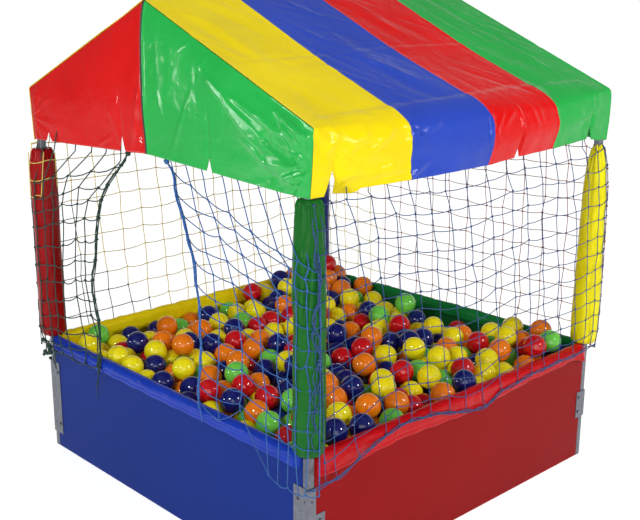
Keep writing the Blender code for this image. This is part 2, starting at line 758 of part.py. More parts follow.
def net(name, side, column_at, columns, top, colour, swag=0):
    """A flat net with real gaps. column_at(k, z) is the place of cord k at height z."""
    fine = net_levels(top)
    tied = POST_AXIS - SOCKET_REACH - TWINE
    bm = bmesh.new()
    layers = []
    for depth in (NET_THICKNESS, 0):
        layer = []
        for z, _ in fine:
            row = []
            for k in range(columns + 1):
                middle = column_at(k, z)
                for u in (middle - TWINE / 2, middle + TWINE / 2):
                    fade = max(0, (NET_FULL_Z - z) / (NET_FULL_Z - NET_BOTTOM))
                    rise = swag * fade ** 3 * between(u / NET_END, NET_HEM_SHARES)
                    row.append(bm.verts.new((u, -net_depth(u, z) - depth, z + rise)))
            layer.append(row)
        layers.append(layer)
    kept = set()
    for i, (z, kind) in enumerate(fine[:-1]):
        for j in range(2 * columns + 1):
            widest = max(abs(column_at(j // 2, z)), abs(column_at((j + 1) // 2, z)))
            if z > NET_TUCK_Z and widest > tied:
                continue
            if kind == "under" or j % 2 == 0:
                kept.add((i, j))
    for layer in layers:
        for i, j in kept:
            bm.faces.new((layer[i][j], layer[i][j + 1], layer[i + 1][j + 1], layer[i + 1][j]))
    front, back = layers
    for i, j in kept:
        if (i - 1, j) not in kept:
            bm.faces.new((front[i][j], front[i][j + 1], back[i][j + 1], back[i][j]))
        if (i + 1, j) not in kept:
            bm.faces.new((front[i + 1][j], front[i + 1][j + 1], back[i + 1][j + 1], back[i + 1][j]))
        if (i, j - 1) not in kept:
            bm.faces.new((front[i][j], front[i + 1][j], back[i + 1][j], back[i][j]))
        if (i, j + 1) not in kept:
            bm.faces.new((front[i][j + 1], front[i + 1][j + 1], back[i + 1][j + 1], back[i][j + 1]))
    loose = [v for v in bm.verts if not v.link_faces]
    bmesh.ops.delete(bm, geom=loose, context="VERTS")
    place(name, finish(bm, name), colour, side_turn(side))


def through(share, points):
    """Smooth curve through (share, value) points given from the highest share down."""
    rising = points[::-1]
    for k in range(len(rising) - 1):
        if share <= rising[k + 1][0] or k == len(rising) - 2:
            break
    x0, y0 = rising[k]
    x1, y1 = rising[k + 1]
    before = rising[max(0, k - 1)]
    after = rising[min(len(rising) - 1, k + 2)]
    slope0 = (y1 - before[1]) / (x1 - before[0])
    slope1 = (after[1] - y0) / (after[0] - x0)
    t = min(1, max(0, (share - x0) / (x1 - x0)))
    span = x1 - x0
    return (
        (2 * t ** 3 - 3 * t ** 2 + 1) * y0 + (t ** 3 - 2 * t ** 2 + t) * span * slope0
        + (3 * t ** 2 - 2 * t ** 3) * y1 + (t ** 3 - t ** 2) * span * slope1
    )


def doorway_edge(z, edge_shares):
    """Where a doorway edge hangs at height z."""
    share = (z - EDGE_ROPE_BOTTOM) / (GABLE_RAIL_Z - EDGE_ROPE_BOTTOM)
    return HALF * through(share, edge_shares)


def side_column(k, z):
    return NET_END * (2 * k / 10 - 1)


def left_column(k, z):
    edge = doorway_edge(z, LEFT_EDGE_SHARES)
    return -NET_END + (edge + NET_END) * k / 5


def right_column(k, z):
    edge = doorway_edge(z, RIGHT_EDGE_SHARES)
    return edge + (NET_END - edge) * k / 5


def doorway_rope(name, edge_shares, bottom, colour):
    """Rope that hangs down a doorway edge from its knot, with its origin in the knot."""
    knot_half = EDGE_KNOT / 2
    path = [(KNOT_Z + knot_half * height, knot_half * girth) for height, girth in KNOT_SHARES]
    steps = 24
    start = KNOT_Z - EDGE_KNOT
    for k in range(steps + 1):
        path.append((start + (bottom - start) * k / steps, EDGE_ROPE / 2))
    points = []
    for z, radius in path:
        u = doorway_edge(z, edge_shares)
        out = max(net_depth(u, z + EDGE_ROPE), net_depth(u, z - EDGE_ROPE))
        points.append(Vector((u, -(out + NET_THICKNESS + 3 * GAP + radius), z)))
    pivot = Vector((doorway_edge(KNOT_Z, edge_shares), points[1].y, KNOT_Z))
    rings = []
    for k, point in enumerate(points):
        along = (points[min(k + 1, len(points) - 1)] - points[max(k - 1, 0)]).normalized()
        side = along.cross(Vector((0, 1, 0))).normalized()
        out = side.cross(along)
        radius = path[k][1]
        ring = []
        for step in range(8):
            angle = math.pi * step / 4
            ring.append(point - pivot + side * radius * math.cos(angle) + out * radius * math.sin(angle))
        rings.append(ring)
    mesh_data = finish(loft(rings, capped=True), name)
    smooth(mesh_data, 60)
    place(name, mesh_data, colour, Matrix.Translation(pivot))


def nets():
    net("net_right", 1, side_column, 10, SIDE_RAIL_Z, "net_blue", NET_SWAG)
    net("net_back", 2, side_column, 10, GABLE_RAIL_Z, "net_red")
    net("net_left", 3, side_column, 10, SIDE_RAIL_Z, "net_yellow")
    net("net_front_left", 0, left_column, 5, GABLE_RAIL_Z, "net_green")
    net("net_front_right", 0, right_column, 5, GABLE_RAIL_Z, "net_blue")
    doorway_rope("doorway_rope_left", LEFT_EDGE_SHARES, EDGE_ROPE_BOTTOM, "net_green")
    doorway_rope("doorway_rope_right", RIGHT_EDGE_SHARES, NET_BOTTOM, "net_blue")


def fill_cells():
    return round(2 * (RIM_IN - GAP) / BALL)


def hollow_height(i, j, cells):
    """Height of the hollows between the top balls, a plane that rises to the back left."""
    return FILL_LEVEL + FILL_RISE * (j - i) / (2 * cells) - FILL_BUMP / 2


def layer_point(i, j):
    """World place on the ball layer: hollows at even grid points, ball tops at odd ones."""
    cells = fill_cells()
    half = RIM_IN - GAP
    step = half / cells
    z = hollow_height(i, j, cells)
    if i % 2 and j % 2:
        z += FILL_BUMP + FILL_UNEVEN * math.sin(2.3 * i + 1.7 * j) * math.cos(1.1 * i - 0.7 * j)
    return Vector((i * step - half, j * step - half, z))


def ball_fill():
    """The balls under the top layer, as one block on the mat."""
    last = 2 * fill_cells()
    under = Vector((0, 0, FILL_SKIN + GAP))
    corners = [layer_point(i, j) - under for i, j in ((0, 0), (last, 0), (last, last), (0, last))]
    feet = [(corner.x, corner.y, MAT + GAP) for corner in corners]
    place("ball_fill", finish(loft([feet, corners], capped=True), "ball_fill"), "blue")


def ball_layer():
    """The top layer of balls as one bumpy piece, each ball in one of the five colours."""
    last = 2 * fill_cells()
    under = Vector((0, 0, FILL_SKIN))
    bm = bmesh.new()
    top = {}
    for i in range(0, last + 1, 2):
        for j in range(0, last + 1, 2):
            top[i, j] = bm.verts.new(layer_point(i, j))
    for i in range(1, last, 2):
        for j in range(1, last, 2):
            peak = bm.verts.new(layer_point(i, j))
            ring = ((i - 1, j - 1), (i + 1, j - 1), (i + 1, j + 1), (i - 1, j + 1))
            for a, b in zip(ring, ring[1:] + ring[:1]):
                face = bm.faces.new((top[a], top[b], peak))
                face.material_index = (i // 2 * 2 + j // 2 * 3 + (i * j) // 7) % len(BALL_COLOURS)
    border = [(i, 0) for i in range(0, last, 2)]
    border += [(last, j) for j in range(0, last, 2)]
    border += [(i, last) for i in range(last, 0, -2)]
    border += [(0, j) for j in range(last, 0, -2)]
    feet = [bm.verts.new(layer_point(i, j) - under) for i, j in border]
    for k, point in enumerate(border):
        after = (k + 1) % len(border)
        bm.faces.new((top[point], top[border[after]], feet[after], feet[k]))
    bm.faces.new(feet)
    mesh_data = finish(bm, "ball_layer")
    place("ball_layer", mesh_data, BALL_COLOURS[0])
    for colour in BALL_COLOURS[1:]:
        mesh_data.materials.append(paint(colour))


def loose_balls():
    """Balls that lie in a hollow between four others."""
    cells = fill_cells()
    radius = BALL / 2
    for colour, shares in LOOSE_BALL_SHARES.items():
        i, j = (2 * round((share + 1) * cells / 2) for share in shares)
        hollow = layer_point(i, j)
        lift = radius
        for around in ((i - 1, j - 1), (i + 1, j - 1), (i + 1, j + 1), (i - 1, j + 1)):
            run = layer_point(*around) - hollow
            slope = run.z / math.hypot(run.x, run.y)
            lift = max(lift, radius * math.sqrt(1 + slope ** 2))
        bm = bmesh.new()
        bmesh.ops.create_uvsphere(bm, u_segments=16, v_segments=9, radius=radius)
        mesh_data = finish(bm, "loose_ball_" + colour)
        mesh_data.shade_smooth()
        centre = hollow + Vector((0, 0, lift + GAP))
        place("loose_ball_" + colour, mesh_data, colour, Matrix.Translation(centre))


def main():
    clear_scene()
    posts()
    roof_frame()
    sockets()
    walls()
    sleeves()
    brackets()
    canopy()
    nets()
    ball_fill()
    ball_layer()
    loose_balls()


main()
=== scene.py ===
import math

import bpy
import numpy as np
from mathutils import Matrix, Vector


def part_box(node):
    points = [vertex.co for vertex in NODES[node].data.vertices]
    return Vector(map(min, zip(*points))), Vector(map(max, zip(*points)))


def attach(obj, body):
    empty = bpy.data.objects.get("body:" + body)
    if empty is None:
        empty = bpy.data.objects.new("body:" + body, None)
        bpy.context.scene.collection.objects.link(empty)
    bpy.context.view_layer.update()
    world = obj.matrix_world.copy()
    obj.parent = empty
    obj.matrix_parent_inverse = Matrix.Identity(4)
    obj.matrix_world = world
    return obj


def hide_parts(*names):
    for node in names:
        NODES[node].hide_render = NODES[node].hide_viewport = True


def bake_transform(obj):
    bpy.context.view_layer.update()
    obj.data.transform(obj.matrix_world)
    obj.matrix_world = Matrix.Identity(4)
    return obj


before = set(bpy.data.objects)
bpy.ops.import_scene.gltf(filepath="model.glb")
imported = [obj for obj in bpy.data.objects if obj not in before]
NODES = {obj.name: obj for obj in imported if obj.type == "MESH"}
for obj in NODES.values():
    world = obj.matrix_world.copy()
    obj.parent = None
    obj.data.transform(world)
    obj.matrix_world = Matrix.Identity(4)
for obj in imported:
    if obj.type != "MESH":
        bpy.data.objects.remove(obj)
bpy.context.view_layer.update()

# ---------------------------------------------------------------- sizes of the CAD part, in metres
HALF = 0.650                 # half of the pit's side
POST_AXIS = 0.639            # the corner posts' axes
ROOF_HALF = 0.6546           # outside of the canopy
RIDGE = 1.543
EAVE = 1.256
HEM = 1.090                  # bottom of the canopy's valance
CLOTH = 0.0015
RAIL_Z = 1.230               # where the nets hang
RIM_TOP = 0.414
RIM_RADIUS = 0.022
SLEEVE_RADIUS = 0.0445
SLEEVE_BOTTOM = 0.4143
SLEEVE_TOP = 1.060
BALL = 0.038                 # a ball's radius
TWINE = 0.0017               # a cord's radius
SLOPE = math.atan2(RIDGE - EAVE, ROOF_HALF)

# ---------------------------------------------------------------- camera, fitted to the photograph
EYE = Vector((2.39963, -2.32355, 1.59113))
YAW, PITCH, ROLL = -0.842491, -0.266389, -0.005387
FOCAL_PX = 1032.48
CENTRE_PX = (274.467, 261.888)
WIDTH_PX, HEIGHT_PX = 640, 520
SENSOR = 36.0

ahead = Vector((math.sin(YAW) * math.cos(PITCH), math.cos(YAW) * math.cos(PITCH), math.sin(PITCH)))
level = Vector((math.cos(YAW), -math.sin(YAW), 0))
up = level.cross(ahead)
right = math.cos(ROLL) * level + math.sin(ROLL) * up
up = math.cos(ROLL) * up - math.sin(ROLL) * level
camera_data = bpy.data.cameras.new("camera")
camera_data.sensor_width = SENSOR
camera_data.lens = FOCAL_PX / WIDTH_PX * SENSOR
camera_data.shift_x = (WIDTH_PX / 2 - CENTRE_PX[0]) / WIDTH_PX
camera_data.shift_y = (CENTRE_PX[1] - HEIGHT_PX / 2) / WIDTH_PX
camera_data.clip_end = 60
camera = bpy.data.objects.new("camera", camera_data)
camera.matrix_world = Matrix.Translation(EYE) @ Matrix((right, up, -ahead)).transposed().to_4x4()
bpy.context.scene.collection.objects.link(camera)
bpy.context.scene.camera = camera

# ---------------------------------------------------------------- light, backdrop and floor
AIM = Vector((0, 0, 0.6))


def lamp(name, way, distance, size, power):
    """A softbox that looks at the pit from a direction in the world."""
    data = bpy.data.lights.new(name, "AREA")
    data.shape = "SQUARE"
    data.size = size
    data.energy = power
    obj = bpy.data.objects.new(name, data)
    way = Vector(way).normalized()
    obj.location = AIM + distance * way
    obj.rotation_euler = way.to_track_quat("Z", "Y").to_euler()
    bpy.context.scene.collection.objects.link(obj)


lamp("lamp_right", (0.863, 0.255, 0.435), 4.2, 0.62, 56)
lamp("lamp_left", (0.213, -0.866, 0.450), 4.2, 0.62, 44)
lamp("lamp_fill", (0.78, -0.62, 0.10), 4.6, 3.4, 76)
lamp("lamp_side", (-0.52, -0.84, 0.13), 4.4, 0.32, 28)
lamp("lamp_top", (0.10, 0.15, 1.0), 4.2, 1.6, 26)

WHITE = (1, 1, 1, 1)
DARK_WAY = (-0.82, -0.57, 0)     # toward the far left front, where nothing bright is mirrored


def node_maker(owner):
    """Clears an owner's node tree and returns a function that adds a node and gives one of its outputs."""
    owner.use_nodes = True
    tree = owner.node_tree
    tree.nodes.clear()

    def add(kind, *values, out=0, **named):
        """values go to inputs in order, Named ones to inputs and others to settings. Outputs are linked."""
        node = tree.nodes.new("ShaderNode" + kind)
        for key, value in [*enumerate(values), *named.items()]:
            if isinstance(key, str) and key[0].islower():
                setattr(node, key, value)
            elif value is not None:
                socket = node.inputs[key.replace("_", " ") if isinstance(key, str) else key]
                if isinstance(value, bpy.types.NodeSocket):
                    tree.links.new(value, socket)
                else:
                    socket.default_value = value
        return node.outputs[out] if len(node.outputs) else None

    return add


def seen_rays(add):
    """1 for rays from the camera, and for glossy and transmitted rays."""
    camera_ray, glossy, through_ray = (add("LightPath", out=f"Is {kind} Ray")
                                       for kind in ("Camera", "Glossy", "Transmission"))
    first = add("Math", camera_ray, glossy, operation="MAXIMUM")
    return add("Math", first, through_ray, operation="MAXIMUM")


def dark_end(add, strength, way, near, far):
    """A strength that falls off between two shares of DARK_WAY, for all rays but the camera's own."""
    share = add("VectorMath", way, DARK_WAY, operation="DOT_PRODUCT", out="Value")
    end = add("MapRange", share, near, far, 1.0, 0.15, interpolation_type="SMOOTHSTEP")
    open_view = add("Math", end, add("LightPath", out="Is Camera Ray"), operation="MAXIMUM")
    return add("Math", strength, open_view, operation="MULTIPLY")


world = bpy.data.worlds.new("world")
bpy.context.scene.world = world
add = node_maker(world)
way = add("TexCoord", out="Generated")
height = add("SeparateXYZ", way, out="Z")
ceiling = add("MapRange", height, 0.10, 0.48, 1.0, 0.22, interpolation_type="SMOOTHSTEP")
white = add("Background", WHITE, dark_end(add, ceiling, way, 0.55, 0.85))
add("OutputWorld", add("MixShader", seen_rays(add), add("Background", WHITE, 0.25), white))
bpy.context.scene.view_settings.view_transform = "Standard"

reach = 9.0
floor_mesh = bpy.data.meshes.new("floor")
floor_mesh.from_pydata([(-reach, -reach, 0), (reach, -reach, 0), (reach, reach, 0), (-reach, reach, 0)], [],
                       [(0, 1, 2, 3)])
floor = bpy.data.objects.new("floor", floor_mesh)
floor.location.z = -0.0005
bpy.context.scene.collection.objects.link(floor)
floor_material = bpy.data.materials.new("floor")
add = node_maker(floor_material)
spot = add("NewGeometry", out="Position")
pale = add("MapRange", add("VectorMath", spot, operation="LENGTH", out="Value"), 1.2, 4.0, 0.62, 0.80)
glow = add("Math", seen_rays(add), pale, operation="MULTIPLY")
glow = dark_end(add, glow, spot, 2.5, 5.0)
add("OutputMaterial", add("BsdfPrincipled", Base_Color=(0.86, 0.86, 0.86, 1), Roughness=0.9,
                          Emission_Color=WHITE, Emission_Strength=glow))
floor_mesh.materials.append(floor_material)

# ---------------------------------------------------------------- materials


def material(name, colour, rough=0.4, tint=0.10, tint_scale=9.0, bumps=((40.0, 0.3, 0.001),),
             metallic=0.0, rough_range=0.08, rough_scale=14.0, weave=0.0, twist=0.0, island=0.0,
             specular=0.5, sheen=0.0, subsurface=0.0, spangle=0.0, folds=None):
    """A procedural finish: colour and roughness that vary, over several scales of relief."""
    mat = bpy.data.materials.new(name)
    add = node_maker(mat)
    where, flat = add("TexCoord", out="Object"), add("TexCoord", out="UV")

    def noise(scale, detail=4.0):
        return add("TexNoise", Vector=where, Scale=scale, Detail=detail, Roughness=0.55)

    def shaded(shown, share, low, high):
        value = add("MapRange", share, 0.0, 1.0, low, high)
        return add("HueSaturation", Value=value, Color=shown)

    shown = add("ValToRGB", noise(tint_scale, 3.0))
    low, high = shown.node.color_ramp.elements
    low.position, high.position = 0.30, 0.72
    low.color = (*(min(1.0, c * (1 - tint)) for c in colour), 1)
    high.color = (*(min(1.0, c * (1 + tint) + 0.02 * tint) for c in colour), 1)
    if island:
        shown = shaded(shown, add("NewGeometry", out="Random Per Island"), 1 - island, 1 + island)
    if spangle:
        cells = add("TexVoronoi", Vector=where, Scale=spangle, out="Color")
        shown = shaded(shown, add("SeparateColor", cells), 0.86, 1.12)
    relief = [(noise(scale), strength, distance) for scale, strength, distance in bumps]
    if folds:
        slant = add("Mapping", flat, Rotation=(0.0, 0.0, 0.45), Scale=(1.0, 0.35, 1.0))
        ridges = add("TexNoise", noise_type="RIDGED_MULTIFRACTAL", Vector=slant, Scale=folds[0], Detail=2.0,
                     Roughness=0.5, Distortion=0.6)
        relief.append((ridges, *folds[1:]))
    if weave:
        threads = [add("TexWave", flat, Scale=260.0, Distortion=0.6, Detail_Scale=2.0, bands_direction=axis,
                       out="Fac") for axis in "XY"]
        relief.append((add("Math", *threads, operation="ADD"), weave, 0.0004))
    if twist:
        ply = add("TexWave", flat, Scale=twist, Distortion=0.0, bands_direction="DIAGONAL", out="Fac")
        relief.append((ply, 0.8, 0.0006))
    normal = None
    for height, strength, distance in relief:
        normal = add("Bump", Height=height, Normal=normal, Strength=strength, Distance=distance)
    patches = add("MapRange", noise(rough_scale), 0.0, 1.0, max(0.02, rough - rough_range), rough + rough_range)
    add("OutputMaterial", add("BsdfPrincipled", Base_Color=shown, Metallic=metallic, Roughness=patches,
                              Normal=normal, Specular_IOR_Level=specular, Sheen_Weight=sheen,
                              Subsurface_Weight=subsurface, Subsurface_Radius=(0.004, 0.004, 0.004)))
    return mat


# relief is given by its scales, strengths and depths
CANOPY = dict(specular=0.11, rough=0.13, tint=0.07, tint_scale=5.0, rough_range=0.07, rough_scale=22.0,
              bumps=((5.0, 0.5, 0.010), (17.0, 0.5, 0.005), (60.0, 0.25, 0.0012)), weave=0.08,
              folds=(9.0, 0.35, 0.004))
PAD = dict(specular=0.12, rough=0.16, tint=0.08, tint_scale=14.0, rough_range=0.10, rough_scale=30.0,
           bumps=((14.0, 0.5, 0.004), (45.0, 0.45, 0.0016)), weave=0.12)
FINISHES = {
    "cloth": CANOPY, "gable": dict(CANOPY, specular=0.34, rough=0.12), "vinyl": PAD, "sleeve": PAD,
    "board": dict(specular=0.05, rough=0.42, tint=0.05, tint_scale=3.0, rough_range=0.07, rough_scale=6.0,
                  bumps=((4.0, 0.12, 0.004), (260.0, 0.12, 0.0003))),
    "net": dict(rough=0.62, tint=0.18, tint_scale=60.0, rough_range=0.10, bumps=((700.0, 0.3, 0.0004),),
                twist=60.0, sheen=0.03),
    "ball": dict(specular=0.50, rough=0.05, tint=0.03, tint_scale=30.0, rough_range=0.03, rough_scale=40.0,
                 island=0.04, bumps=((40.0, 0.05, 0.0010),), subsurface=0.06)}
COLOURS = {
    # the gables' red is a darker copy of the stripes' red cloth (0.70 against 0.77): painted shade on the
    # gables' faces; their green is nearly the stripes' green
    "gable_red": (0.70, 0.004, 0.004), "gable_green": (0.020, 0.44, 0.075),
    "cloth_red": (0.77, 0.005, 0.005), "cloth_green": (0.020, 0.445, 0.072),
    "cloth_yellow": (0.95, 0.73, 0.003), "cloth_blue": (0.026, 0.070, 0.51),
    "vinyl_red": (0.56, 0.003, 0.007), "vinyl_blue": (0.010, 0.045, 0.44), "vinyl_green": (0.008, 0.220, 0.045),
    "vinyl_yellow": (0.98, 0.76, 0.005), "vinyl_navy": (0.010, 0.020, 0.19),
    "sleeve_red": (0.34, 0.003, 0.005), "sleeve_green": (0.006, 0.130, 0.014),
    "sleeve_yellow": (0.97, 0.84, 0.008),
    "board_blue": (0.009, 0.032, 0.235), "board_red": (0.30, 0.007, 0.008), "board_green": (0.010, 0.14, 0.035),
    "board_yellow": (0.80, 0.55, 0.006),
    "ball_yellow": (0.96, 0.83, 0.008), "ball_orange": (0.92, 0.22, 0.006), "ball_red": (0.62, 0.007, 0.012),
    "ball_navy": (0.007, 0.012, 0.15), "ball_lime": (0.16, 0.66, 0.075),
    "net_blue": (0.016, 0.105, 0.35), "net_rope": (0.022, 0.130, 0.42), "net_wall": (0.011, 0.055, 0.19),
    "net_brown": (0.27, 0.070, 0.055), "net_yellow": (0.86, 0.68, 0.14), "net_green": (0.005, 0.034, 0.024)}
MATS = {key: material(key, colour, **FINISHES[key.split("_")[0]]) for key, colour in COLOURS.items()}
METAL = (0.155, 0.165, 0.195)
MATS["steel"] = material("steel", METAL, 0.36, 0.07, 12.0, ((120.0, 0.15, 0.0004),), 0.85, 0.10, spangle=90.0)
MATS["zinc"] = material("zinc", METAL, 0.40, 0.08, 25.0, ((150.0, 0.2, 0.0004),), 0.7, 0.12, spangle=140.0)
MATS["socket"] = material("socket", (0.030, 0.030, 0.033), 0.5, 0.2, 40.0, ((600.0, 0.25, 0.0003),))
# painted shade: a near-black colour standing in for the shadow in the gap along each gable's middle seam
MATS["seam"] = material("seam", (0.012, 0.016, 0.014), 0.45, 0.2, 60.0, ((300.0, 0.3, 0.0003),))
MATS["mat"] = material("mat", (0.035, 0.040, 0.055), 0.8, 0.2, 30.0, ((220.0, 0.4, 0.0008),))


def dress(prefixes, mat):
    """Gives a finish to the CAD pieces whose names start so."""
    for node, obj in NODES.items():
        if node.startswith(prefixes):
            obj.data.materials.clear()
            obj.data.materials.append(MATS[mat])
            for face in obj.data.polygons:
                face.material_index = 0


dress(("post_", "rail_", "rafter_", "ridge_"), "steel")
dress(("long_", "short_"), "zinc")
dress(("socket_", "peak_"), "socket")
dress("floor_mat", "mat")
for side, colour in (("front", "blue"), ("right", "red"), ("back", "green"), ("left", "yellow")):
    dress("panel_" + side, "board_" + colour)

# ---------------------------------------------------------------- helpers
# the corners of a face between two rows of points, as steps along (rows, a row)
ON_SHEET = ((0, 0), (1, 0), (1, 1), (0, 1))
ON_TUBE = ((0, 0), (0, 1), (1, 1), (1, 0))
ON_RIM = ((1, 0), (1, 1), (0, 1), (0, 0))


def quads(flat, corners, columns, base=0):
    """Faces over a grid, and their corners' flat places. A closed form has one column fewer than flat."""
    i, j = np.indices((len(flat) - 1, len(flat[0]) - 1)).reshape(2, -1)
    faces = np.stack([base + (i + a) * columns + (j + b) % columns for a, b in corners], 1)
    return faces.tolist(), np.stack([flat[i + a, j + b] for a, b in corners], 1).reshape(-1, 2).tolist()


def globe(segments, belts, base=0):
    """Faces of a globe: a point at each pole and belts of points between them."""
    last, faces = base + 1 + belts * segments, []
    for j in range(segments):
        b = (j + 1) % segments
        faces.append((base, base + 1 + j, base + 1 + b))
        for p in range(base + 1, last - segments, segments):
            faces.append((p + j, p + segments + j, p + segments + b, p + b))
        faces.append((last - segments + j, last, last - segments + b))
    return faces


def add_mesh(name, verts, faces, mat, uvs=None, body="pit"):
    """Makes an object from vertices, faces and, for each face corner, a place in metres."""
    mesh = bpy.data.meshes.new(name)
    mesh.from_pydata(np.asarray(verts, float).tolist(), [], faces)
    if uvs is not None:
        layer = mesh.uv_layers.new(name="flat")
        layer.data.foreach_set("uv", np.asarray(uvs, np.float32).ravel())
    mesh.materials.append(MATS[mat])
    mesh.polygons.foreach_set("use_smooth", [True] * len(mesh.polygons))
    mesh.update()
    obj = bpy.data.objects.new(name, mesh)
    bpy.context.scene.collection.objects.link(obj)
    if body:
        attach(obj, body)
    return obj


def cloth(name, points, flat, mat):
    """A sheet through a grid of points, CLOTH thick inward. flat is the same grid in flat metres."""
    faces, uvs = quads(flat, ON_SHEET, flat.shape[1])
    obj = add_mesh(name, points.reshape(-1, 3), faces, mat, uvs, None)
    modifier = obj.modifiers.new("thickness", "SOLIDIFY")
    modifier.thickness = CLOTH
    modifier.offset = -1
    mesh = bpy.data.meshes.new_from_object(obj.evaluated_get(bpy.context.evaluated_depsgraph_get()))
    obj.modifiers.clear()
    obj.data = mesh
    mesh.polygons.foreach_set("use_smooth", [True] * len(mesh.polygons))
    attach(obj, "pit")
    return obj


def table(width, *parts):
    """Rows of numbers that are given in ten-thousandths."""
    return tuple(tuple(part / 10000 for part in parts[k:k + width]) for k in range(0, len(parts), width))


def bell(x, width):
    return np.exp(-(x / width) ** 2)


def turns(count):
    """Angles evenly round a circle."""
    return 2 * math.pi * np.arange(count) / count


def unit(vector):
    return vector / np.linalg.norm(vector)


def lattice(us, vs):
    """Flat places (u, v), a row for each v."""
    return np.stack(np.broadcast_arrays(us[None, :], vs[:, None]), 2)


def smooth_step(x):
    x = np.clip(x, 0, 1)
    return x * x * (3 - 2 * x)


def through(x, points):
    """A smooth curve through points of (place, value) with rising places."""
    places, values = np.array(points, float).T
    slopes = np.gradient(values, places)
    x = np.clip(np.asarray(x, float), places[0], places[-1])
    k = np.clip(np.searchsorted(places, x, side="right") - 1, 0, len(places) - 2)
    span = places[k + 1] - places[k]
    t = (x - places[k]) / span
    return ((2 * t ** 3 - 3 * t ** 2 + 1) * values[k] + (t ** 3 - 2 * t ** 2 + t) * span * slopes[k]
            + (3 * t ** 2 - 2 * t ** 3) * values[k + 1] + (t ** 3 - t ** 2) * span * slopes[k + 1])


def at(x, points):
    """The straight lines through points of (place, value), at x."""
    return np.interp(x, *zip(*points))


def creases(rng, count, box, height, width, length, angle, spread):
    """Random crease lines in a flat box ((low, high), (low, high))."""
    lines = []
    for _ in range(count):
        a = rng.normal(angle, spread)
        lines.append((rng.uniform(*box[0]), rng.uniform(*box[1]), math.cos(a), math.sin(a),
                      rng.uniform(*height) * rng.choice((-1, 1)), rng.uniform(*width), rng.uniform(*length)))
    return lines


def crease_field(s, t, lines):
    """How far creases lift a sheet at flat places s, t."""
    total = np.zeros_like(s)
    for cs, ct, ds, dt, height, width, length in lines:
        along = (s - cs) * ds + (t - ct) * dt
        off = (t - ct) * ds - (s - cs) * dt
        total += height * bell(off, width) * np.exp(-(along / length) ** 4)
    return total


# ---------------------------------------------------------------- canopy
SLOPE_LENGTH = ROOF_HALF / math.cos(SLOPE)
DROP = EAVE - HEM
# slits in the hem: place, half width and height
NOTCHES = {"side": table(3, -5900, 240, 620, 1400, 120, 380, 5370, 160, 420),
           "gable": table(3, -5420, 190, 300, -1210, 140, 480, 2800, 120, 380)}
# the hem's height along a side and along a gable
HEMS = {"side": table(2, -6546, 10865, -6100, 10870, -5850, 10860, -5176, 10820, -4970, 10945, -3222, 10940,
            150, 10920, 1390, 10985, 3533, 11020, 5200, 11090, 5600, 11040, 6000, 10965, 6546, 10940),
        "gable": table(2, -6546, 10920, -5780, 10950, -5300, 10970, -1370, 11120, 0, 11190, 2680, 11060, 4500,
            10970, 6245, 10880, 6546, 10865)}
# how far out the side valance stands, from the eave's fold down to the hem, at places along it
OUT_SHARES = (0.0, 0.1, 0.25, 0.45, 0.65, 0.8, 1.0)
OUT_PLACES = (-0.6546, -0.56, -0.327, 0.0, 0.327, 0.56, 0.6546)
OUT = table(7, 6710, 6700, 6680, 6655, 6630, 6610, 6585, 6630, 6735, 6775, 6785, 6740, 6710, 6680, 6610, 6745,
            6830, 6890, 6850, 6835, 6870, 6660, 6810, 6920, 7015, 7000, 6930, 6820, 6600, 6745, 6830, 6925,
            6880, 6805, 6720, 6610, 6680, 6710, 6720, 6690, 6655, 6620, 6565, 6605, 6612, 6610, 6600, 6580,
            6560)
# the height of the eave's fold, at places along it
FOLD_Z = table(2, -6546, 12570, -5600, 12530, -3270, 12520, 0, 12540, 3270, 12470, 5600, 12520, 6546, 12540)


def valance_out(y, share):
    """How far from the middle the side valance stands, at one y and shares of its drop."""
    columns = [through(y, tuple(zip(OUT_PLACES, column))) for column in zip(*OUT)]
    return through(share, tuple(zip(OUT_SHARES, columns)))


def hem_at(u, kind):
    """Height of the valance's lower edge, with its slits."""
    hem = at(u, HEMS[kind])
    for place, half, height in NOTCHES[kind]:
        hem = hem + height * np.clip(1 - np.abs(u - place) / half, 0, 1) ** 1.2
    return hem


def notch_columns(start, stop, step, kind):
    """Places across a cloth, evenly apart, and closer at each slit and beside each seam."""
    places = list(np.linspace(start, stop, max(2, int(round((stop - start) / step)) + 1)))
    for place, half, _ in NOTCHES[kind]:
        if start + half < place < stop - half:
            places = [p for p in places if abs(p - place) > half * 1.25 or p in (start, stop)]
            places += [place + half * k for k in (-1.05, -1, -0.66, -0.33, -0.08, 0, 0.08, 0.33, 0.66, 1, 1.05)]
    places = [p for p in places if start + 0.015 < p < stop - 0.015]
    places += [start + d for d in (0, 0.002, 0.004, 0.0065, 0.0095, 0.013)]
    places += [stop - d for d in (0, 0.002, 0.004, 0.0065, 0.0095, 0.013)]
    return np.array(sorted(places))


def line(a, b, c, d, height, width):
    """A crease from flat place a, b to c, d: its middle, direction, height, width and half length."""
    reach = math.hypot(c - a, d - b)
    return ((a + c) / 2, (b + d) / 2, (c - a) / reach, (d - b) / reach, height, width, reach / 2)


def rounded(profile, reach):
    """Blunts the corners of a finely stepped path."""
    kernel = np.ones(2 * reach + 1) / (2 * reach + 1)
    padded = np.concatenate([np.repeat(profile[:1], reach, 0), profile, np.repeat(profile[-1:], reach, 0)])
    return np.stack([np.convolve(padded[:, k], kernel, mode="valid") for k in range(profile.shape[1])], 1)


ROOF_RNG = np.random.default_rng(21)
ROOF_BOX = ((0.03, SLOPE_LENGTH - 0.05), (-0.63, 0.63))
ROOF_LINES = {sign: (
    creases(ROOF_RNG, 60, ROOF_BOX, (0.0006, 0.0020), (0.005, 0.012), (0.03, 0.10), 0.42, 0.35)
    + creases(ROOF_RNG, 30, ROOF_BOX, (0.0005, 0.0014), (0.004, 0.009), (0.02, 0.08), -0.5, 0.5)
    + creases(ROOF_RNG, 14, ROOF_BOX, (0.0015, 0.0035), (0.020, 0.045), (0.10, 0.22), 0.25, 0.3))
    for sign in (-1, 1)}
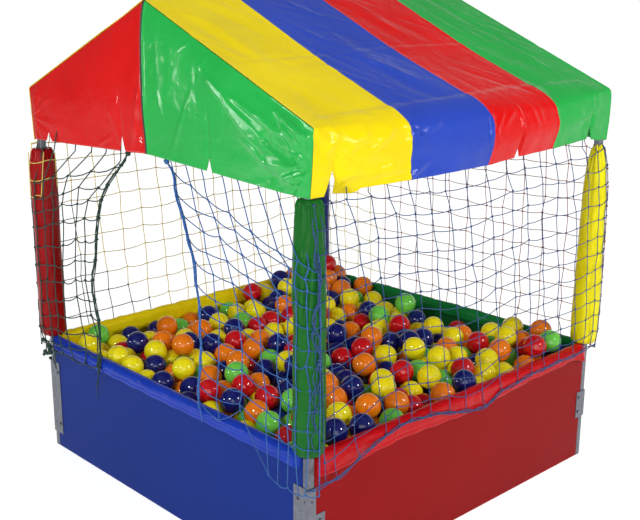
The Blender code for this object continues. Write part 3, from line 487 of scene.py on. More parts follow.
# the valance's own creases, at places (y, height): the gathered front corner, then the blue and red cloth
VALANCE_LINES = tuple(line(*row) for row in table(6,
    -6600, 12620, -6280, 11870, -45, 60, -6550, 12580, -5200, 11400, 50, 80, -6280, 11870, -5680, 12460, 42, 70,
    -6400, 11700, -5000, 11500, 35, 80, -6000, 12150, -5750, 11700, -35, 60, -6160, 11380, -3300, 11260, 72, 90,
    -5750, 12160, -3850, 12140, 40, 80, -3420, 12430, -2150, 12220, 58, 80, -3410, 12380, -2580, 11680, 50, 55,
    -3260, 11020, -2620, 11310, 48, 50, -3260, 11340, -2560, 11350, 46, 50, -90, 12470, 220, 11650, 40, 60,
    1970, 12500, 2120, 11850, 30, 100, 2370, 12400, 2430, 11950, 26, 80, -500, 11760, -300, 11600, 22, 50, 4000,
    12200, 6000, 11300, 25, 120, 4500, 11500, 6200, 12000, -22, 120, -4700, 12000, -3600, 11700, -20, 120,
    -3450, 11950, -2700, 12400, 48, 65, -3000, 12000, -1950, 12430, 46, 70, -3350, 10980, -2850, 11320, 50, 55,
    -5600, 11880, -4650, 12430, 56, 85, -4700, 11850, -3800, 12380, 56, 90, -6000, 11120, -5000, 11500, 50, 80,
    -4900, 11120, -3700, 11480, 50, 85, 0, 11800, 600, 12350, 42, 70, 450, 11950, 1200, 12430, 36, 70, -160,
    11600, 100, 12400, 46, 55))


def slope_lift(s, y, sign):
    """How far the cloth of a slope lies above its flat plane, at s from the ridge."""
    share = s / SLOPE_LENGTH
    free = 0.575
    window = np.clip(1 - (y / free) ** 2, 0, 1) ** 1.5
    dip = -0.009 * np.sin(np.pi * np.clip(share, 0, 1)) ** 2 * window
    fold_at = np.interp(y, (-0.6, -0.36, -0.07, 0.1, 0.3, 0.6), (0.52, 0.50, 0.462, 0.455, 0.469, 0.48))
    fold = (-0.0020 * bell(share - fold_at, 0.007)
            + 0.0010 * bell(share - fold_at - 0.026, 0.016))
    fold *= np.clip(1 - (y / 0.62) ** 8, 0, 1)
    band_at = np.interp(y, (-0.6, -0.36, -0.02, 0.24, 0.6), (0.935, 0.918, 0.905, 0.872, 0.90))
    band = 0.0036 * smooth_step((share - band_at + 0.016) / 0.032) * smooth_step((1.0 - share) / 0.05)
    band -= 0.0007 * bell(share - band_at + 0.014, 0.012)
    band *= np.clip(1 - (y / 0.63) ** 10, 0, 1)
    edge = smooth_step((share - 0.02) / 0.06) * smooth_step((0.99 - share) / 0.05)
    return dip + fold + band + crease_field(s, y, ROOF_LINES[sign]) * edge


def stripe(name, index, colour):
    """One stripe of the canopy, from hem to hem over the ridge."""
    width = 2 * ROOF_HALF / 4
    start = -ROOF_HALF + index * width + (0.0003 if index else 0)
    stop = -ROOF_HALF + (index + 1) * width - (0.0003 if index < 3 else 0)
    ys = notch_columns(start, stop, 0.0068, "side")
    hem = hem_at(ys, "side")
    down = np.concatenate([np.linspace(0, SLOPE_LENGTH, 117)[:-1], SLOPE_LENGTH + np.linspace(0, 1, 43) * DROP])
    slope_part = down < SLOPE_LENGTH
    s = np.minimum(down, SLOPE_LENGTH)
    share = np.clip((down - SLOPE_LENGTH) / DROP, 0, 1)
    seam = np.minimum(ys - start, stop - ys)
    weld = 0.0013 * bell(seam, 0.0055)
    halves = []
    for sign in (-1, 1):
        rows = []
        for k, y in enumerate(ys):
            fold_z = float(through(y, FOLD_Z))
            out = valance_out(y, share)
            lift = slope_lift(s, np.full_like(s, y), sign) * slope_part
            x = np.where(slope_part, s / SLOPE_LENGTH * out[0], out)
            drop_z = fold_z - share * (fold_z - hem[k])
            z = np.where(slope_part, RIDGE - s / SLOPE_LENGTH * (RIDGE - fold_z), drop_z)
            x = x + lift * math.sin(SLOPE)
            z = z + lift * math.cos(SLOPE)
            if sign > 0:
                inside = smooth_step((z - hem[k]) / 0.012) * smooth_step(share / 0.06) * (1 - slope_part)
                ridges = crease_field(np.full_like(z, y), z, VALANCE_LINES)
                x = x + np.clip(ridges, -0.006, 0.006) * inside
                flap = np.interp(y, (-0.598, -0.55, -0.508), (1.126, 1.116, 1.090)) - z
                x = x - np.clip(flap, 0, 0.05) * 0.75 * (-0.592 < y < -0.508) * (1 - slope_part)
            phase = 1.7 + 1.1 * sign
            flutter = 0.5 + 0.5 * np.sin(2 * np.pi * y / 0.083 + 2.2 * phase)
            x = x + share ** 2 * 0.0016 * flutter * np.clip(1 - (abs(y) / ROOF_HALF) ** 6, 0, 1)
            path = rounded(np.stack([x, z], 1), 1)
            normal_x = np.where(slope_part, math.sin(SLOPE), 1.0)
            normal_z = np.where(slope_part, math.cos(SLOPE), 0.0)
            x = path[:, 0] + weld[k] * normal_x
            z = path[:, 1] + weld[k] * normal_z
            rows.append(np.stack([sign * x, np.full_like(x, y), z], 1))
        halves.append(np.array(rows))
    left, right_half = halves
    crest = (left[:, :1] + right_half[:, :1]) / 2
    crest[:, :, 0] = 0
    points = np.concatenate([left[:, :0:-1], crest, right_half[:, 1:]], 1)
    along = np.concatenate([-down[:0:-1], [0], down[1:]])
    flat = np.stack(np.broadcast_arrays(ys[:, None], along[None, :]), 2)
    obj = cloth(name, points[::-1], flat[::-1], "cloth_" + colour)
    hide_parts("canopy_stripe_" + colour)


for index, colour in enumerate(("yellow", "blue", "red", "green")):
    stripe("canopy_" + colour, index, colour)

GABLE_RNG = np.random.default_rng(5)
GABLE_GAP = 0.0004               # between a gable and the inside of the stripes
# the front gable's own creases, at places (x, height): three wide ridges, then narrow ones that mostly
# run down to its right corner
GABLE_LINES = tuple(line(*row) for row in table(6,
    2200, 13850, 5000, 12050, 66, 460, 4400, 12450, 6300, 11150, 60, 380, 4500, 13150, 6400, 12150, 48, 300,
    2790, 13570, 4170, 12550, 50, 110, 4000, 12700, 5600, 11650, 80, 110, 5400, 11800, 6320, 11180, 70, 90,
    3710, 13130, 5010, 12620, 34, 80, 4800, 12750, 6400, 12040, 66, 90, 5480, 12860, 6500, 12320, 58, 75, 5600,
    12620, 6480, 11650, 62, 75, 5000, 11890, 6000, 11190, 58, 80, 5200, 12150, 6350, 11500, -55, 85, 6010,
    11210, 6500, 11470, 52, 60, 5850, 11400, 6400, 11080, 46, 55, 4400, 12000, 5600, 11300, 40, 85, 6100, 12350,
    6500, 11800, -40, 60, 5900, 12150, 6400, 11500, 42, 60, 2190, 14230, 2590, 13740, 26, 55, 2810, 14150, 2550,
    13730, 24, 50, 2130, 13010, 1260, 11450, 18, 80, 700, 13000, 900, 12200, 16, 70, -1830, 12420, -1200, 11170,
    22, 50, -2670, 11100, -1690, 11560, 16, 60, -100, 13300, -730, 11220, 42, 70, -400, 12400, -150, 11400, -50,
    120))
# random ones lie in these boxes: all over a gable, and close together in that corner
GABLE_BOX, CORNER_BOX = ((-0.62, 0.62), (1.14, 1.50)), ((0.50, 0.65), (1.12, 1.29))


def gable(name, x_sign, y_sign, colour):
    """Half of a gable and its valance."""
    edge = ROOF_HALF - CLOTH - GABLE_GAP
    low, high = sorted((x_sign * 0.0002, x_sign * edge))
    front = y_sign < 0
    fine = x_sign > 0 and front
    xs = notch_columns(low, high, 0.0042 if fine else 0.0068, "gable")
    hem = hem_at(xs if front else -xs, "gable")
    corner_y = y_sign * ROOF_HALF
    fold_z = float(through(corner_y, FOLD_Z))
    u = xs / edge
    top = RIDGE - np.abs(u) * (RIDGE - fold_z) - (CLOTH + GABLE_GAP) / math.cos(SLOPE)
    share = np.linspace(0, 1, 117 if fine else 75)
    z = hem[:, None] + (top - hem)[:, None] * share[None, :]
    drop = np.clip((fold_z - z) / (fold_z - HEM), 0, 1)
    edge_x = np.interp(drop, OUT_SHARES, OUT[0 if front else -1]) - CLOTH - GABLE_GAP
    x = u[:, None] * edge_x
    below = np.clip(top[:, None] - z, 0, None)
    belly = 0.018 * (1 - np.exp(-below / 0.06)) * (0.56 + 0.44 * smooth_step((z - hem[:, None]) / 0.15))
    belly *= 1 - np.abs(u[:, None]) ** 2.2
    lines = creases(GABLE_RNG, 16, GABLE_BOX, (0.0003, 0.0011), (0.006, 0.016), (0.04, 0.12), 1.2, 0.5)
    if front:
        lines += creases(GABLE_RNG, 34, CORNER_BOX, (0.0008, 0.0022), (0.006, 0.013), (0.02, 0.06), 1.0, 1.5)
        lines += GABLE_LINES
    inside = smooth_step(below / 0.03) * smooth_step((1 - np.abs(u[:, None])) * edge / 0.012)
    relief = np.clip(crease_field(x, z, lines), -0.0075, 0.0095) * inside
    # a fan of folds round the valance's corner
    reach_x, reach_z = (x_sign * 0.655 - x) * x_sign, z - 1.165
    distance = np.hypot(reach_x, reach_z)
    angle = np.arctan2(reach_z, reach_x)
    fan = np.cos(angle * 11 + 0.6) + 0.6 * np.cos(angle * 19 + 2.0)
    amount = 0.0021 if x_sign * y_sign < 0 else 0.0008
    relief += amount * fan * bell(distance, 0.20) * smooth_step(distance / 0.05) * inside
    bead = 0.0036 * bell(np.abs(x) - 0.0062, 0.0030)
    stand = 0.0055 * smooth_step((np.abs(x) - 0.25) / 0.2) * smooth_step((edge_x - np.abs(x)) / 0.035) * inside
    stand *= smooth_step((1.33 - z) / 0.1)
    proud = np.maximum(belly + relief + stand, -0.0002 + 0 * z) + bead
    y = y_sign * (ROOF_HALF + proud)
    points = np.stack([x, y, z], 2)
    flat = np.stack([x, z], 2)
    if y_sign > 0:
        points, flat = points[::-1], flat[::-1]
    obj = cloth(name, points, flat, "gable_" + colour)
    # the faces within 4 mm of the gable's middle take the near-black seam colour: painted shade along the seam,
    # between its beads
    obj.data.materials.append(MATS["seam"])
    for face in obj.data.polygons:
        face.material_index = int(abs(face.center.x) < 0.0040)
    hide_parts(name)


for end, y_sign in (("front", -1), ("back", 1)):
    gable(f"gable_{end}_left", -1, y_sign, "red")
    gable(f"gable_{end}_right", 1, y_sign, "green")

# ---------------------------------------------------------------- foam sleeves
SLEEVE_FORM = table(2, 0, 7400, 120, 8800, 350, 9700, 700, 10000, 2500, 9850, 4200, 9650, 5800, 9850, 7200,
                    10000, 9000, 10000, 9450, 9500, 9750, 8400, 10000, 7000)


def sleeve(corner, x_sign, y_sign, mat, seed, form=SLEEVE_FORM, neck=(), worn=1.0, grooves=0):
    """A foam tube in a coated cloth cover, gathered with pleats at both ends; neck continues it up the post."""
    rng = np.random.default_rng(seed)
    count, length = 72, SLEEVE_TOP - SLEEVE_BOTTOM
    heights = np.concatenate([np.linspace(0, 0.08, 14)[:-1], np.linspace(0.08, 0.90, 70)[:-1],
                              np.linspace(0.90, 1, 18)])
    angles = turns(count)
    h, a = np.meshgrid(heights, angles, indexing="ij")
    radius = SLEEVE_RADIUS * through(h, form)
    low_end, high_end = bell(h, 0.045), bell(1 - h, 0.075)
    pleat = 0.0019 * (np.cos(13 * a + 1.3 * np.sin(3 * a)) * low_end
                      + np.cos(15 * a + 1.1 * np.sin(2 * a) + 0.7) * high_end)
    lines = (creases(rng, 24, ((0.0, 0.28), (0.02, 0.62)), (0.0006, 0.0018), (0.004, 0.010), (0.02, 0.08),
                     1.45, 0.3)
             + creases(rng, 16, ((0.0, 0.28), (0.05, 0.60)), (0.0006, 0.0016), (0.005, 0.012), (0.015, 0.05),
                       0.5, 0.5))
    for _ in range(grooves):
        lines.append((rng.uniform(0.0, 0.28), rng.uniform(0.05, 0.62), math.cos(rng.normal(1.5, 0.10)), 1.0,
                      -rng.uniform(0.003, 0.006) / worn, rng.uniform(0.005, 0.009), rng.uniform(0.08, 0.22)))
    lift = crease_field(a * SLEEVE_RADIUS, h * length, lines)
    lift = lift * np.clip(np.minimum(a, 2 * math.pi - a) / 0.5, 0, 1)
    seam_angle = math.pi * 0.25 * (5 if x_sign > 0 else 1)
    seam = 0.0012 * bell((a - seam_angle + math.pi) % (2 * math.pi) - math.pi, 0.035)
    radius = np.minimum(radius + pleat + worn * lift - 0.0010 + seam, SLEEVE_RADIUS + 0.0006)
    z = SLEEVE_BOTTOM + h * length + 0.0016 * np.cos(15 * a) * high_end * (h > 0.985)
    tube = np.stack([radius * np.cos(a), radius * np.sin(a), z], 2)
    inner = tube[0] * (0.52, 0.52, 1)
    under = np.stack([inner, inner * (0.66, 0.66, 1), inner * (0.82, 0.82, 1)])
    under[:, :, 2] = SLEEVE_BOTTOM + 0.0006
    above = []
    for rise, wide in neck or ((0.0, 0.82), (0.0, 0.66), (0.0, 0.52)):
        ruffle = 1 + 0.07 * np.cos(15 * angles + 60 * rise) * (rise > 0)
        ring = tube[-1] * np.stack([wide * ruffle, wide * ruffle, np.ones(count)], 1)
        ring[:, 2] = SLEEVE_TOP - 0.001 + rise
        above.append(ring)
    points = np.concatenate([under, tube, above]) + (x_sign * POST_AXIS, y_sign * POST_AXIS, 0)
    v = np.concatenate([[0, 0.01, 0.02], heights * length + 0.03, 0.69 + 0.01 * np.arange(len(above))])
    u = np.linspace(0, 2 * math.pi * SLEEVE_RADIUS, count + 1)
    faces, uvs = quads(lattice(u, v), ON_TUBE, count)
    obj = add_mesh("sleeve_cover_" + corner, points.reshape(-1, 3), faces, mat, uvs)
    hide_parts("sleeve_" + corner)


TAPERED = table(2, 0, 8000, 200, 9300, 700, 10000, 2500, 10000, 4200, 9600, 6000, 9200, 7500, 8800, 8700, 7800,
                9400, 6600, 9750, 5500, 10000, 4600)
REACHING = SLEEVE_FORM[:3] + ((0.07, 1.0), (0.42, 1.0), (0.70, 0.98), (0.85, 0.93), (0.94, 0.86), (1.0, 0.80))
NECK = ((0.005, 0.98), (0.010, 0.95), (0.016, 0.89), (0.021, 0.82), (0.0245, 0.70), (0.0248, 0.38))
SLIM_NECK = ((0.006, 0.88), (0.012, 0.76), (0.018, 0.68), (0.022, 0.60))
sleeve("front_left", -1, -1, "sleeve_red", 31)
sleeve("front_right", 1, -1, "sleeve_green", 32, REACHING, NECK, 1.7, 16)
sleeve("back_right", 1, 1, "sleeve_yellow", 33, TAPERED, SLIM_NECK, 1.3, 8)
sleeve("back_left", -1, 1, "vinyl_navy", 34)

# ---------------------------------------------------------------- padded rims


def on_side(side, u, out, z):
    """A place on a wall: u along it, out from the middle of the pit, and z, as columns of x, y, z."""
    u, out, z = np.broadcast_arrays(np.asarray(u, float), np.asarray(out, float), np.asarray(z, float))
    x, y = {"front": (u, -out), "right": (out, u), "back": (-u, out), "left": (-out, -u)}[side]
    return np.stack([x, y, z], -1)


# how deep the skirts hang, as a share of their depth, at places along them
SIDE_SKIRT = table(2, -10000, 10000, -7500, 9700, -5000, 8400, -2500, 9200, 0, 10000, 2500, 8800, 5000, 7400,
                   7500, 6800, 9000, 6600, 10000, 9500)
GABLE_SKIRT = table(2, -10000, 10000, -6700, 9600, -3300, 9800, 0, 10000, 3300, 9500, 6700, 9800, 10000, 10000)


def rim(side, colour, depth, form, seed, worn=1.0):
    """Foam in a coated cloth cover over a board's top edge, with a hanging skirt."""
    rng = np.random.default_rng(seed)
    end = 0.6199
    middle = HALF - 0.0075
    arc = np.linspace(0, math.pi, 20)
    box = ((-end, end), (0.0, 0.12))
    lines = (creases(rng, 70, box, (0.0006, 0.0022), (0.004, 0.011), (0.012, 0.05), 1.5, 0.45)
             + creases(rng, 26, box, (0.0008, 0.0020), (0.008, 0.016), (0.04, 0.12), 0.1, 0.25))
    for place in (-end, end):
        for k in range(7):
            turn = 1.2 + 0.12 * k
            lines.append((place * (1 - 0.006 * k), 0.035, math.cos(turn), math.sin(turn), 0.0022, 0.005, 0.05))
    rows, flats = [], []
    for u in np.linspace(-end, end, 190):
        skirt = depth * float(through(u / end, form)) + 0.0012 * math.sin(u * 61 + seed)
        inner = depth * 0.9
        # one turn round the rim: under the skirt, up its outside, over the top, down inside and under
        out = middle + np.concatenate([[0.0085, 0.014, 0.0195], np.full(11, RIM_RADIUS),
                                       RIM_RADIUS * np.cos(arc), np.full(4, -RIM_RADIUS), [-0.0195, -0.0085]])
        z = np.concatenate([RIM_TOP - skirt - np.array([0.0002, 0.0008, 0]),
                            RIM_TOP - np.linspace(skirt, RIM_RADIUS, 12)[:-1],
                            RIM_TOP - RIM_RADIUS + RIM_RADIUS * np.sin(arc),
                            RIM_TOP - np.linspace(RIM_RADIUS, inner, 5)[1:], np.full(2, RIM_TOP - inner)])
        step = np.hypot(np.diff(out, prepend=out[0]), np.diff(z, prepend=z[0]))
        t = np.cumsum(step)
        normal_o = np.concatenate([np.zeros(3), np.ones(11), np.cos(arc), -np.ones(4), np.zeros(2)])
        normal_z = np.concatenate([-np.ones(3), np.zeros(11), np.sin(arc), np.zeros(4), -np.ones(2)])
        lift = worn * crease_field(np.full_like(t, u), t, lines) - 0.0016
        lift -= 0.0016 * bell(t - 0.026, 0.0022) * (t > 0.02)
        lift *= np.concatenate([np.zeros(3), np.ones(len(t) - 5), np.zeros(2)])
        lift -= 0.004 * math.exp(-((end - abs(u)) / 0.012) ** 2)
        rows.append(on_side(side, u, out + normal_o * lift, z + normal_z * lift * (normal_z > 0)))
        flats.append(np.stack([np.full_like(t, u), t], 1))
    points, flat = np.array(rows), np.array(flats)
    count, columns = points.shape[:2]
    faces, uvs = quads(np.concatenate([flat, flat[:, :1]], 1), ON_RIM, columns)
    for i, way in ((0, 1), (count - 1, -1)):
        faces.append(list(range(i * columns, (i + 1) * columns))[::way])
        uvs += flat[i][::way].tolist()
    obj = add_mesh("rim_cover_" + side, points.reshape(-1, 3), faces, "vinyl_" + colour, uvs)
    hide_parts("rim_" + side)


rim("front", "blue", 0.041, GABLE_SKIRT, 41, 0.35)
rim("right", "red", 0.066, SIDE_SKIRT, 42, 0.7)
rim("back", "green", 0.046, GABLE_SKIRT, 43)
rim("left", "yellow", 0.070, tuple((-a, b) for a, b in SIDE_SKIRT[::-1]), 44)

# ---------------------------------------------------------------- nets
# the heights where the nets are in behind the valance, out at the posts and out between them
NET_TUCK_Z, NET_OUT_Z, NET_FULL_Z = HEM - 0.008, HEM - 0.034, HEM - 0.080
RIM_OUTSIDE = 0.6645
TURN_RADIUS = 0.0465             # of the nets' way round a corner post


def net_out(u, z, slim=0.0):
    """How far out a cord lies: behind the valance, then outside rims and sleeves.

    slim is 1 at the tapered sleeve.
    """
    u, z = np.abs(np.asarray(u, float)), np.asarray(z, float)
    share = np.clip((z - SLEEVE_BOTTOM) / (SLEEVE_TOP - SLEEVE_BOTTOM), 0, 1)
    girth = SLEEVE_RADIUS * (1 + slim * (np.minimum(through(share, TAPERED) + 0.03, 1) - 1))
    tuck, on_rim, on_sleeve = HALF - 0.0010, RIM_OUTSIDE + TWINE, POST_AXIS + girth + TWINE
    middle = np.interp(z, (NET_FULL_Z, NET_TUCK_Z), (on_rim, tuck))
    tucked = np.interp(z, (NET_OUT_Z, NET_TUCK_Z - 0.006, NET_TUCK_Z), (0, 0.35, 1))
    by_post = on_sleeve + (tuck - on_sleeve) * tucked
    full = POST_AXIS - SLEEVE_RADIUS - 0.100
    return middle + (by_post - middle) * smooth_step((u - full + 0.100) / 0.100)


def net_place(side, u, z, proud=0.0):
    """Places on the loop of nets, round the corner posts where u is beyond their axes."""
    u, z = np.broadcast_arrays(np.atleast_1d(np.asarray(u, float)), np.atleast_1d(np.asarray(z, float)))
    slim = {"right": u > 0, "back": u < 0}.get(side, u > 9) * 1.0
    out = net_out(u, z, slim) + proud
    beyond = np.clip(np.abs(u) - POST_AXIS, 0, None)
    angle = beyond / TURN_RADIUS
    radius = out - POST_AXIS
    flat_u = np.sign(u) * (np.minimum(np.abs(u), POST_AXIS) + radius * np.sin(angle))
    flat_out = np.where(beyond > 0, POST_AXIS + radius * np.cos(angle), out)
    return on_side(side, flat_u, flat_out, z)


class Cords:
    """Gathers cords and knots into one mesh. It rides on the pit unless build says otherwise."""

    def __init__(self):
        self.verts, self.faces, self.uvs, self.count = [], [], [], 0

    def keep(self, verts, faces, uvs):
        self.verts.append(verts)
        self.faces += faces
        self.uvs += uvs
        self.count += len(verts)

    def tube(self, points, radius=TWINE, sides=5):
        points = np.asarray(points, float)
        points = points[np.concatenate([[True], np.linalg.norm(np.diff(points, axis=0), axis=1) > 1e-5])]
        if len(points) < 2:
            return
        tangent = np.gradient(points, axis=0)
        tangent /= np.linalg.norm(tangent, axis=1)[:, None]
        side = np.cross(tangent[0], (0.3, 0.5, 0.81))
        length = np.concatenate([[0], np.cumsum(np.linalg.norm(np.diff(points, axis=0), axis=1))])
        a = turns(sides)
        rings = []
        for k in range(len(points)):
            side = unit(side - tangent[k] * side.dot(tangent[k]))
            other = np.cross(tangent[k], side)
            rings.append(points[k] + radius * (np.cos(a)[:, None] * side + np.sin(a)[:, None] * other))
        around = 2 * np.pi * radius * np.arange(sides + 1) / sides
        faces, uvs = quads(lattice(around, length), ON_TUBE, sides, self.count)
        last = self.count + (len(points) - 1) * sides
        faces += [range(self.count, self.count + sides)[::-1], range(last, last + sides)]
        self.keep(np.concatenate(rings), faces, uvs + [(0, 0)] * (2 * sides))

    def knot(self, place, radius, rng, segments=6, rings=4):
        axis = unit(rng.normal(size=3))
        side = unit(np.cross(axis, (0.2, 0.9, 0.4)))
        other = np.cross(axis, side)
        verts = [place + axis * radius * 1.15]
        for lat in math.pi * np.arange(1, rings) / rings:
            for lon in turns(segments):
                r = radius * (0.86 + 0.28 * rng.random())
                verts.append(place + r * (math.cos(lat) * axis * 1.1
                                          + math.sin(lat) * (math.cos(lon) * side + math.sin(lon) * other)))
        verts.append(place - axis * radius * 1.15)
        faces = globe(segments, rings - 1, self.count)
        uvs = []
        for face in faces:
            uvs += [(0, 0)] * 3 if len(face) == 3 else [(0, 0), (0, 0.002), (0.002, 0.002), (0.002, 0)]
        self.keep(np.array(verts), faces, uvs)

    def build(self, name, mat, node, slot_name, body="pit"):
        """Makes the mesh, which replaces a CAD piece."""
        obj = add_mesh(name, np.concatenate(self.verts), self.faces, mat, self.uvs, body)
        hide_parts(node)
        return obj


def soft_line(nodes, sag, rng, parts=3):
    """A slack cord through its knots: it sags a little and wanders between them."""
    nodes = np.asarray(nodes, float)
    points = []
    for a, b in zip(nodes, nodes[1:]):
        droop = sag * rng.uniform(0.3, 1.6)
        drift = rng.normal(0, 0.0007, 3)
        for k in range(parts):
            t = k / parts
            points.append(a + (b - a) * t + (drift - (0, 0, droop)) * 4 * t * (1 - t))
    points.append(nodes[-1])
    return np.array(points)


def weave_net(side, columns, pick, rng, jitter=0.0035, knot=0.0031, sag=0.0030, radius=0.0013):
    """Cords through a grid of knots. columns[c][r] is (u, z) of a knot; pick gives the Cords of its colour."""
    grid = np.array(columns, float)                       # c, r, (u, z)
    noise = rng.normal(0, jitter, grid.shape)
    noise[0], noise[-1] = noise[0] * 0.3, noise[-1] * 0.2
    grid = grid + np.clip(noise, -2 * jitter, 2 * jitter)
    place = net_place(side, grid[:, :, 0], grid[:, :, 1])

    def cord(knots, places, sag):
        run, colour = [places[0]], None
        for k in range(1, len(knots)):
            here = pick((knots[k] + knots[k - 1]) / 2)
            if here is not colour and len(run) > 1:
                colour.tube(soft_line(run, sag, rng), radius)
                run = [places[k - 1]]
            colour = here
            run.append(places[k])
        colour.tube(soft_line(run, sag, rng), radius)

    for c in range(grid.shape[0]):
        cord(grid[c], place[c], 0)
    for r in range(2, grid.shape[1]):
        cord(grid[:, r], place[:, r], sag)
        for c in range(grid.shape[0]):
            if grid[c][r][1] < 1.22:
                pick(grid[c][r]).knot(place[c][r], knot * rng.uniform(0.85, 1.2), rng)


# the +X wall: blue. Its cords lean toward +Y as they fall, and its border dips at both ends.
RIGHT_LEAN = table(2, -6800, 200, -6000, 1400, -5430, 2600, -3680, 1580, -1430, 1870, 1350, 1520, 4530, 930,
                   6000, 300, 6800, 0)
RIGHT_BORDER = table(2, -6800, 3330, -5730, 3430, -4910, 3760, -4010, 3880, -3210, 4020, -2540, 4060, -1580,
                     3920, -800, 3750, 60, 3520, 790, 3500, 1420, 3730, 2280, 3850, 4200, 3950, 6320, 4080,
                     6800, 4000)
RIGHT_DIP = table(2, -6800, 120, -5400, 120, -1100, -280, 1500, -100, 4500, -120, 6800, 60)
CORNER_U = 0.6755                # half way round a corner post


def wall_columns(tops, lean, border, dip, first_z, row_count):
    """Columns of knots that lean as they fall, from below the hem to a border."""
    columns = []
    for top_u in tops:
        column = [(top_u, RAIL_Z), (top_u, 1.083)] if abs(top_u) < 0.63 else [(top_u, 1.083), (top_u, 1.080)]
        slant = float(at(top_u, lean))
        low_z = float(at(top_u + slant * 0.69, border))
        high_z = first_z + float(at(top_u, dip))
        for r in range(row_count):
            z = high_z + (low_z - high_z) * (r / (row_count - 1))
            column.append((top_u + slant * (high_z - z), z))
        columns.append(column)
    return columns


rng = np.random.default_rng(101)
blue = Cords()
tops = [-0.660, -0.640, -0.600, -0.543, -0.455, -0.368, -0.292, -0.216, -0.143, -0.058, 0.038, 0.135, 0.215,
        0.295, 0.375, 0.453, 0.530, 0.595, 0.640, CORNER_U]
weave_net("right", wall_columns(tops, RIGHT_LEAN, RIGHT_BORDER, RIGHT_DIP, 1.062, 13), lambda p: blue, rng)
# two more strands lie along its border
for offset, turn in ((0.0035, 0.0), (0.0060, 2.4)):
    us = np.linspace(-0.68, 0.68, 150)
    blue.tube(net_place("right", us, at(us, RIGHT_BORDER) + offset * np.sin(us * 41 + turn), 0.0018))
# and four loose cords hang beside the green sleeve
for turn in range(4):
    zs = np.linspace(1.045 - 0.03 * turn, 0.44 + 0.05 * turn, 60)
    us = -0.656 + 0.0085 * np.sin(zs * (23 + 5 * turn) + 2 * turn) + 0.004 * np.sin(zs * 90 + turn)
    blue.tube(net_place("right", us, zs, 0.0015 + 0.0012 * turn), 0.0013)
    for _ in range(4):
        k = rng.integers(6, 54)
        blue.knot(net_place("right", us[k], zs[k], 0.003)[0], rng.uniform(0.0030, 0.0045), rng)
blue.build("net_right_cords", "net_wall", "net_right", "net_blue")

# the back wall: brown-red, with yellow toward the navy sleeve, below a stepped line; u runs toward -X here
rng = np.random.default_rng(102)
brown, back_yellow = Cords(), Cords()
tops = [-CORNER_U, -0.640, -0.585] + [-0.51 + 0.0815 * k for k in range(14)] + [0.600, 0.640, CORNER_U]
columns = wall_columns(tops, ((-0.68, 0.0), (0.68, -0.05)), ((-0.68, 0.395), (0.68, 0.395)),
                       ((-0.68, 0.0), (0.0, -0.012), (0.68, 0.0)), 1.060, 12)
weave_net("back", columns, lambda p: back_yellow if -p[0] < -0.32 - 0.5 * max(0.0, p[1] - 0.75) else brown, rng)
brown.build("net_back_cords", "net_brown", "net_back", "net_orange")
back_yellow.build("net_back_end_cords", "net_yellow", "net_back", "net_yellow")

# the -X wall: yellow, with dark green low down by the doorway
rng = np.random.default_rng(103)
yellow, green = Cords(), Cords()


def left_pick(p):
    """Dark green under a stepped line that rises toward the doorway corner; u runs toward -Y here."""
    y = -p[0]
    limit = 0.93 if y < -0.60 else 0.626 - 0.74 * (y + 0.431) if y > -0.50 else 0.83
    return green if p[1] < limit else yellow


tops = [-CORNER_U, -0.640, -0.590] + [-0.512 + 0.0862 * k for k in range(13)] + [0.598, 0.640, CORNER_U]
columns = wall_columns(tops, ((-0.68, 0.0), (-0.5, -0.085), (0.5, -0.085), (0.68, 0.0)),
                       ((-0.68, 0.39), (0.0, 0.385), (0.68, 0.375)), ((-0.68, 0.0), (0.68, 0.012)), 1.062, 11)
weave_net("left", columns, left_pick, rng, radius=0.0015)


def round_sleeve(turns, heights):
    """Places on the red sleeve's cover: turns in degrees about its post, and heights."""
    turns, heights = np.radians(np.asarray(turns, float)), np.asarray(heights, float)
    reach = SLEEVE_RADIUS + 0.0040
    return np.stack([-POST_AXIS + reach * np.cos(turns), -POST_AXIS + reach * np.sin(turns), heights], 1)


# its cords are wound round the red sleeve's top
steps = np.linspace(0, 1, 12)
for first, last, high, low in ((-96, -104, 1.052, 0.905), (-24, -44, 1.055, 0.905), (26, 30, 1.050, 0.930)):
    yellow.tube(round_sleeve(first + (last - first) * steps, high + (low - high) * steps), 0.0016)
for first, last, height in ((-102, 34, 1.022), (-104, 32, 0.962), (-106, -42, 0.906)):
    yellow.tube(round_sleeve(first + (last - first) * steps, height - 0.005 * np.sin(steps * 6.3)), 0.0016)
yellow.build("net_left_cords", "net_yellow", "net_left", "net_yellow")
green.build("net_left_low_cords", "net_green", "net_left", "net_green")

# the doorway's green leaf: x at heights, of its edge, its second column and its fourth
GREEN_EDGE = table(2, 2780, -3290, 3810, -3070, 4710, -2930, 5540, -2970, 6160, -3150, 6810, -3200, 7510, -2960,
                   8180, -2840, 9000, -2650, 9500, -2440, 10020, -2060, 10670, -1470, 11130, -1070, 12300, -850)
GREEN_SECOND = table(2, 3000, -3450, 4670, -3150, 5540, -3380, 6080, -3510, 6890, -3610, 7540, -3660, 8220,
                     -3480, 8880, -3410, 9450, -3180, 10050, -2440, 10560, -1850, 10980, -1550, 12300, -1300)
GREEN_FAR = table(2, 3000, -4400, 3900, -4550, 4750, -4750, 5430, -4810, 6130, -4790, 7160, -4740, 8180, -4620,
                  9180, -4510, 10020, -4300, 10580, -3640, 10970, -2920, 12300, -2700)
GREEN_ROWS = (1.067, 1.002, 0.950, 0.890, 0.818, 0.751, 0.681, 0.616, 0.554, 0.490, 0.430, 0.385)


